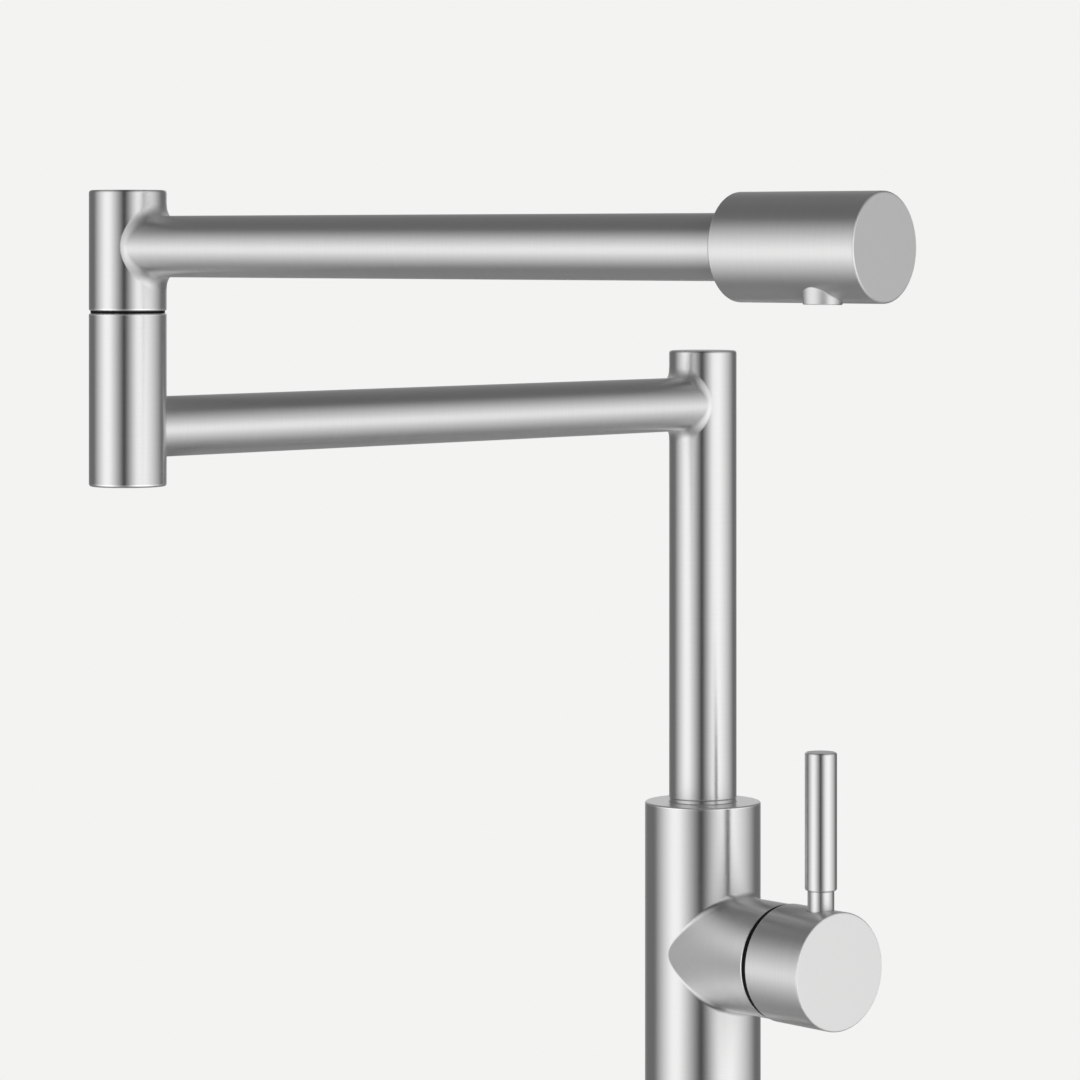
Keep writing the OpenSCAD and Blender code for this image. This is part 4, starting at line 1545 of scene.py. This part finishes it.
@dataclass
class UpperSpout:
    """The elbow's upper half, the upper arm, the head and its outlet.

    Attributes:
        head_r: The head's radius.
        head_len: The head's length.
        head_edge: The rounding of the head's ends.
        back_t: The thickness of the head's back wall.
        end_t: The thickness of the head's end disc.
        outlet_r: The outlet's radius.
        outlet_bore: The outlet's inner radius.
        outlet_blend: The radius of the blend between the outlet and the head.
        outlet_edge: The rounding of the outlet's mouth.
        outlet_len: The outlet's length.
        outlet_panel: Half the outlet's panel across and along, as multiples of its radius.
        wide_side: The side where the upper post's blend widens.
    """

    head_r: float = 17.75 * MM
    head_len: float = 56.5 * MM
    head_edge: float = 0.7 * MM
    back_t: float = 3.0 * MM
    end_t: float = 3.0 * MM
    outlet_r: float = 6.25 * MM
    outlet_bore: float = 5.0 * MM
    outlet_blend: float = 0.5 * MM
    outlet_edge: float = 0.25 * MM
    outlet_len: float = 6.5 * MM
    outlet_panel: tuple[float, float] = (1.6, 1.5)
    wide_side: int = 1

    def build(self) -> None:
        """Builds the post, the arm, the head and the outlet."""
        body, slot = "upper_spout", "brushed_steel"
        foot, top = foot_and_top("upper_post")
        arm_z = middle("upper_arm_tube").z
        post = TUBE.tee(top - foot, arm_z - foot, TUBE.gap_edge, self.wide_side)
        # The end finish on the top and on the rim at the elbow's gap is brighter, a painted highlight.
        post.piece("upper_post_skin", upright(ELBOW, foot, UPPER_HEADING), body, slot,
                   ["upper_post", "upper_post_cap"], TURNED_AND_HIGHLIGHT_STEEL)
        head_start = HEAD_END.length + self.end_t / 2 - self.head_len
        arm = TUBE.arm(head_start + self.back_t, 0.0, self.wide_side)
        arm.piece("upper_arm_skin", level(ELBOW, arm_z, UPPER_HEADING), body, slot, ["upper_arm_tube"])
        self.head(arm_z, head_start)

    def head(self, arm_z: float, head_start: float) -> None:
        """Builds the head with the blend that the outlet comes out of.

        Args:
            arm_z: The height of the upper arm's axis.
            head_start: The distance of the head's back from the elbow's axis.
        """
        outlet = middle("outlet_nozzle")
        way = Vector((math.cos(UPPER_HEADING), math.sin(UPPER_HEADING), 0.0))
        outlet_x = from_elbow(outlet).dot(way) - head_start
        aside = from_elbow(outlet).dot(Vector((-way.y, way.x, 0.0)))
        foot = arm_z - low("outlet_nozzle").z
        down = math.pi
        mouth = Mouth(self.head_r, self.outlet_r, self.outlet_blend, angle=down, z=outlet_x, aside=aside,
                      blend_steps=5)
        centre = down + math.asin(aside / self.head_r)
        wide, half = (multiple * self.outlet_r for multiple in self.outlet_panel)
        left, right = centre - wide / self.head_r, centre + wide / self.head_r
        wall = Wall(self.head_r, chain(left, (right, 40), (left + FULL_TURN, 96)), chain(
            self.head_edge, (outlet_x - half, 4), (outlet_x + half, 30), (self.head_len - self.head_edge, 2)))
        at_outlet = (0, 1)
        skin = Skin()
        turns = wall.sew(skin, {at_outlet: mouth})[at_outlet]
        mouth.sew_pipe(skin, turns, [
            Corner(self.outlet_r, self.head_r), Corner(self.outlet_r, foot, self.outlet_edge),
            Corner(self.outlet_bore, foot, self.outlet_edge),
            Corner(self.outlet_bore, foot - self.outlet_len), Corner(0.0, foot - self.outlet_len),
        ])
        skin.turn([
            Corner(self.head_r, self.head_len - self.head_edge),
            Corner(self.head_r, self.head_len, self.head_edge, Face.END), Corner(0.0, self.head_len),
        ], wall.angles())
        skin.turn([
            Corner(TUBE.arm_r, self.back_t), Corner(TUBE.arm_r, 0.0, 0.0, Face.END),
            Corner(self.head_r, 0.0, self.head_edge), Corner(self.head_r, self.head_edge),
        ], wall.angles())
        place = level(ELBOW, arm_z, UPPER_HEADING, head_start)
        skin.piece("head_skin", place, "upper_spout", "brushed_steel",
                   ["head_shell", "head_end_cap", "outlet_nozzle"], GROUND_STEEL)


def dress_nodes() -> None:
    """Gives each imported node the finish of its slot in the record."""
    slots = {part["node"]: part["material_slot"] for part in frame["record"]["subparts"]}
    for name, node in frame["nodes"].items():
        node.data.materials.clear()
        node.data.materials.append(FINISHES[slots[name]].material(Lay.CARRIED))
        LOG.info("%s: dressed as %s", name, slots[name])


@dataclass(frozen=True)
class SoftBox:
    """A soft light at a far distance, by its place seen from the tap.

    Attributes:
        level: The light's strength in its middle.
        left: Where it ends on the left and where it is full, in degrees from the camera.
        right: The same on the right.
        top: Where it ends above and where it is full, in degrees above level.
        foot: The same below.
    """

    level: float
    left: tuple[float, float]
    right: tuple[float, float]
    top: tuple[float, float] = (52.0, -4.0)
    foot: tuple[float, float] = (-68.0, -15.0)

    def light(self, azimuth: Wire, height: Wire) -> Wire:
        """Returns the light that comes from a direction.

        Args:
            azimuth: The direction's angle from the camera, to the right, in radians.
            height: The direction's angle above level, in radians.

        Returns:
            The light's strength.
        """
        sides = azimuth.rise_between(self.left) * azimuth.rise_between(self.right)
        ends = height.rise_between(self.top) * height.rise_between(self.foot)
        return self.level * sides * ends


@dataclass
class Studio:
    """The camera, the light and the floor.

    Attributes:
        eye: The camera's place.
        look: The camera's direction round Z, in degrees.
        lens: The focal length, in millimetres.
        sensor: The sensor's width, in millimetres.
        shift: The vertical shift, as a share of the frame.
        paper: The colour of the background and the floor.
        floor_half: Half the floor's width.
        shadow_reach: How far the shadow of the tap's foot spreads.
        shadow_light: The share of the paper's light that is left where the shadow is deepest.
        shadow_samples: The number of rays that look for the shadow at a point.
        flag: The light from straight ahead, where the camera stands.
        walls: How much more comes from the sides and the back.
        ground: How much more comes from below.
        paper_glow: How much more comes from the paper behind the tap.
        flag_edge: Where the light from the walls begins and where it is full, in degrees from the camera.
        paper_side: Where the paper's glow begins and where it is full, in degrees from the camera.
        paper_top: Where it ends above and where it is full, in degrees above level.
        paper_foot: The same below.
        ground_edge: Where the light from below begins and where it is full, in degrees above level.
        boxes: The soft lights.
    """

    eye: tuple[float, float, float] = (1.3477, -1.2203, 0.39215)
    look: float = 49.97
    lens: float = 145.92
    sensor: float = 36.0
    shift: float = -0.2763
    paper: tuple[float, float, float] = (0.896, 0.896, 0.888)
    floor_half: float = 4.0
    shadow_reach: float = 0.12
    shadow_light: float = 0.55
    shadow_samples: int = 8
    flag: float = 0.02
    walls: float = 0.17
    ground: float = 0.08
    paper_glow: float = 0.5
    flag_edge: tuple[float, float] = (6.0, 50.0)
    paper_side: tuple[float, float] = (150.0, 172.0)
    paper_top: tuple[float, float] = (38.0, 12.0)
    paper_foot: tuple[float, float] = (-14.0, 2.0)
    ground_edge: tuple[float, float] = (-20.0, -60.0)
    boxes: tuple[SoftBox, ...] = (
        SoftBox(1.65, (-114.0, -66.0), (-6.0, -52.0)),
        SoftBox(1.70, (-5.0, 33.0), (125.0, 57.0)),
    )

    def build(self) -> None:
        """Builds the studio."""
        self.camera()
        self.world()
        self.floor()

    def camera(self) -> None:
        """Puts the camera at the photograph's viewing angle."""
        data = bpy.data.cameras.new("camera")
        data.sensor_width = self.sensor
        data.lens = self.lens
        data.shift_y = self.shift
        camera = bpy.data.objects.new("camera", data)
        camera.location = self.eye
        camera.rotation_euler = (QUARTER, 0.0, math.radians(self.look))
        bpy.context.scene.collection.objects.link(camera)
        bpy.context.scene.camera = camera

    def world(self) -> None:
        """Draws the soft lights round the tap, and the plain background that the camera sees."""
        world = bpy.data.worlds.new("studio")
        bpy.context.scene.world = world
        world.use_nodes = True
        tree = Tree(world.node_tree)
        way = tree.node("ShaderNodeTexCoord").outputs["Generated"]
        parts = tree.node("ShaderNodeSeparateXYZ", None, {0: way}).outputs
        x, y, z = (tree.wire(part) for part in parts)
        look = math.radians(self.look)
        ahead = x * math.sin(look) - y * math.cos(look)
        side = x * math.cos(look) + y * math.sin(look)
        azimuth = side.maths("ARCTAN2", side, ahead)
        height = z.maths("ARCSINE", z)
        round_back = azimuth.maths("ABSOLUTE", azimuth)
        paper = round_back.rise_between(self.paper_side) * height.rise_between(self.paper_top)
        paper = paper * height.rise_between(self.paper_foot)
        light = self.flag + self.walls * round_back.rise_between(self.flag_edge)
        light = light + self.ground * height.rise_between(self.ground_edge) + self.paper_glow * paper
        for box in self.boxes:
            light = light + box.light(azimuth, height)
        studio = tree.node("ShaderNodeBackground", None, {"Color": (1.0, 1.0, 1.0, 1.0), "Strength": light})
        plain = tree.node("ShaderNodeBackground", None, {"Color": (*self.paper, 1.0), "Strength": 1.0})
        seen = tree.node("ShaderNodeLightPath").outputs["Is Camera Ray"]
        mixed = tree.node("ShaderNodeMixShader", None, {0: seen, 1: studio.outputs[0], 2: plain.outputs[0]})
        tree.node("ShaderNodeOutputWorld", None, {"Surface": mixed.outputs[0]})

    def floor(self) -> None:
        """Builds the pale floor, which shows the tap's soft shadow and blends into the background."""
        half = self.floor_half
        z = CAD_BOX[0][2]
        mesh = bpy.data.meshes.new("floor")
        corners = [(-half, -half, z), (half, -half, z), (half, half, z), (-half, half, z)]
        mesh.from_pydata(corners, [], [(0, 1, 2, 3)])
        material = bpy.data.materials.new("pale_paper")
        material.use_nodes = True
        tree = Tree(material.node_tree)
        settings = {"samples": self.shadow_samples}
        occlusion = tree.node("ShaderNodeAmbientOcclusion", settings, {"Distance": self.shadow_reach})
        open_share = tree.wire(occlusion.outputs["AO"])
        strength = self.shadow_light + (1 - self.shadow_light) * open_share
        seen = tree.node("ShaderNodeEmission", None, {"Color": (*self.paper, 1.0), "Strength": strength})
        lit = tree.node("ShaderNodeBsdfDiffuse", None, {"Color": (*self.paper, 1.0)})
        camera_ray = tree.node("ShaderNodeLightPath").outputs["Is Camera Ray"]
        mixed = tree.node("ShaderNodeMixShader", None, {0: camera_ray, 1: lit.outputs[0], 2: seen.outputs[0]})
        tree.node("ShaderNodeOutputMaterial", None, {"Surface": mixed.outputs[0]})
        mesh.materials.append(material)
        floor = bpy.data.objects.new("floor", mesh)
        floor.visible_glossy = False
        bpy.context.scene.collection.objects.link(floor)
        floor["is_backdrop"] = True


def write_size() -> None:
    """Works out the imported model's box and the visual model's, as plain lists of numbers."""
    boxes = {"cad": CAD_BOX, "visual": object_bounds()}
    plain = {name: [[float(part) for part in corner] for corner in box] for name, box in boxes.items()}


def main() -> None:
    """Builds the studio and the tap."""
    logging.basicConfig(level=logging.INFO, format="%(message)s")
    bpy.context.scene.view_settings.view_transform = "Standard"
    dress_nodes()
    builders: tuple[Callable[[], None], ...] = (
        Studio().build, Clamp().build, Body().build, Lever().build, LowerSpout().build, UpperSpout().build,
    )
    for build in builders:
        build()
    write_size()


if __name__ == "__main__":
    main()
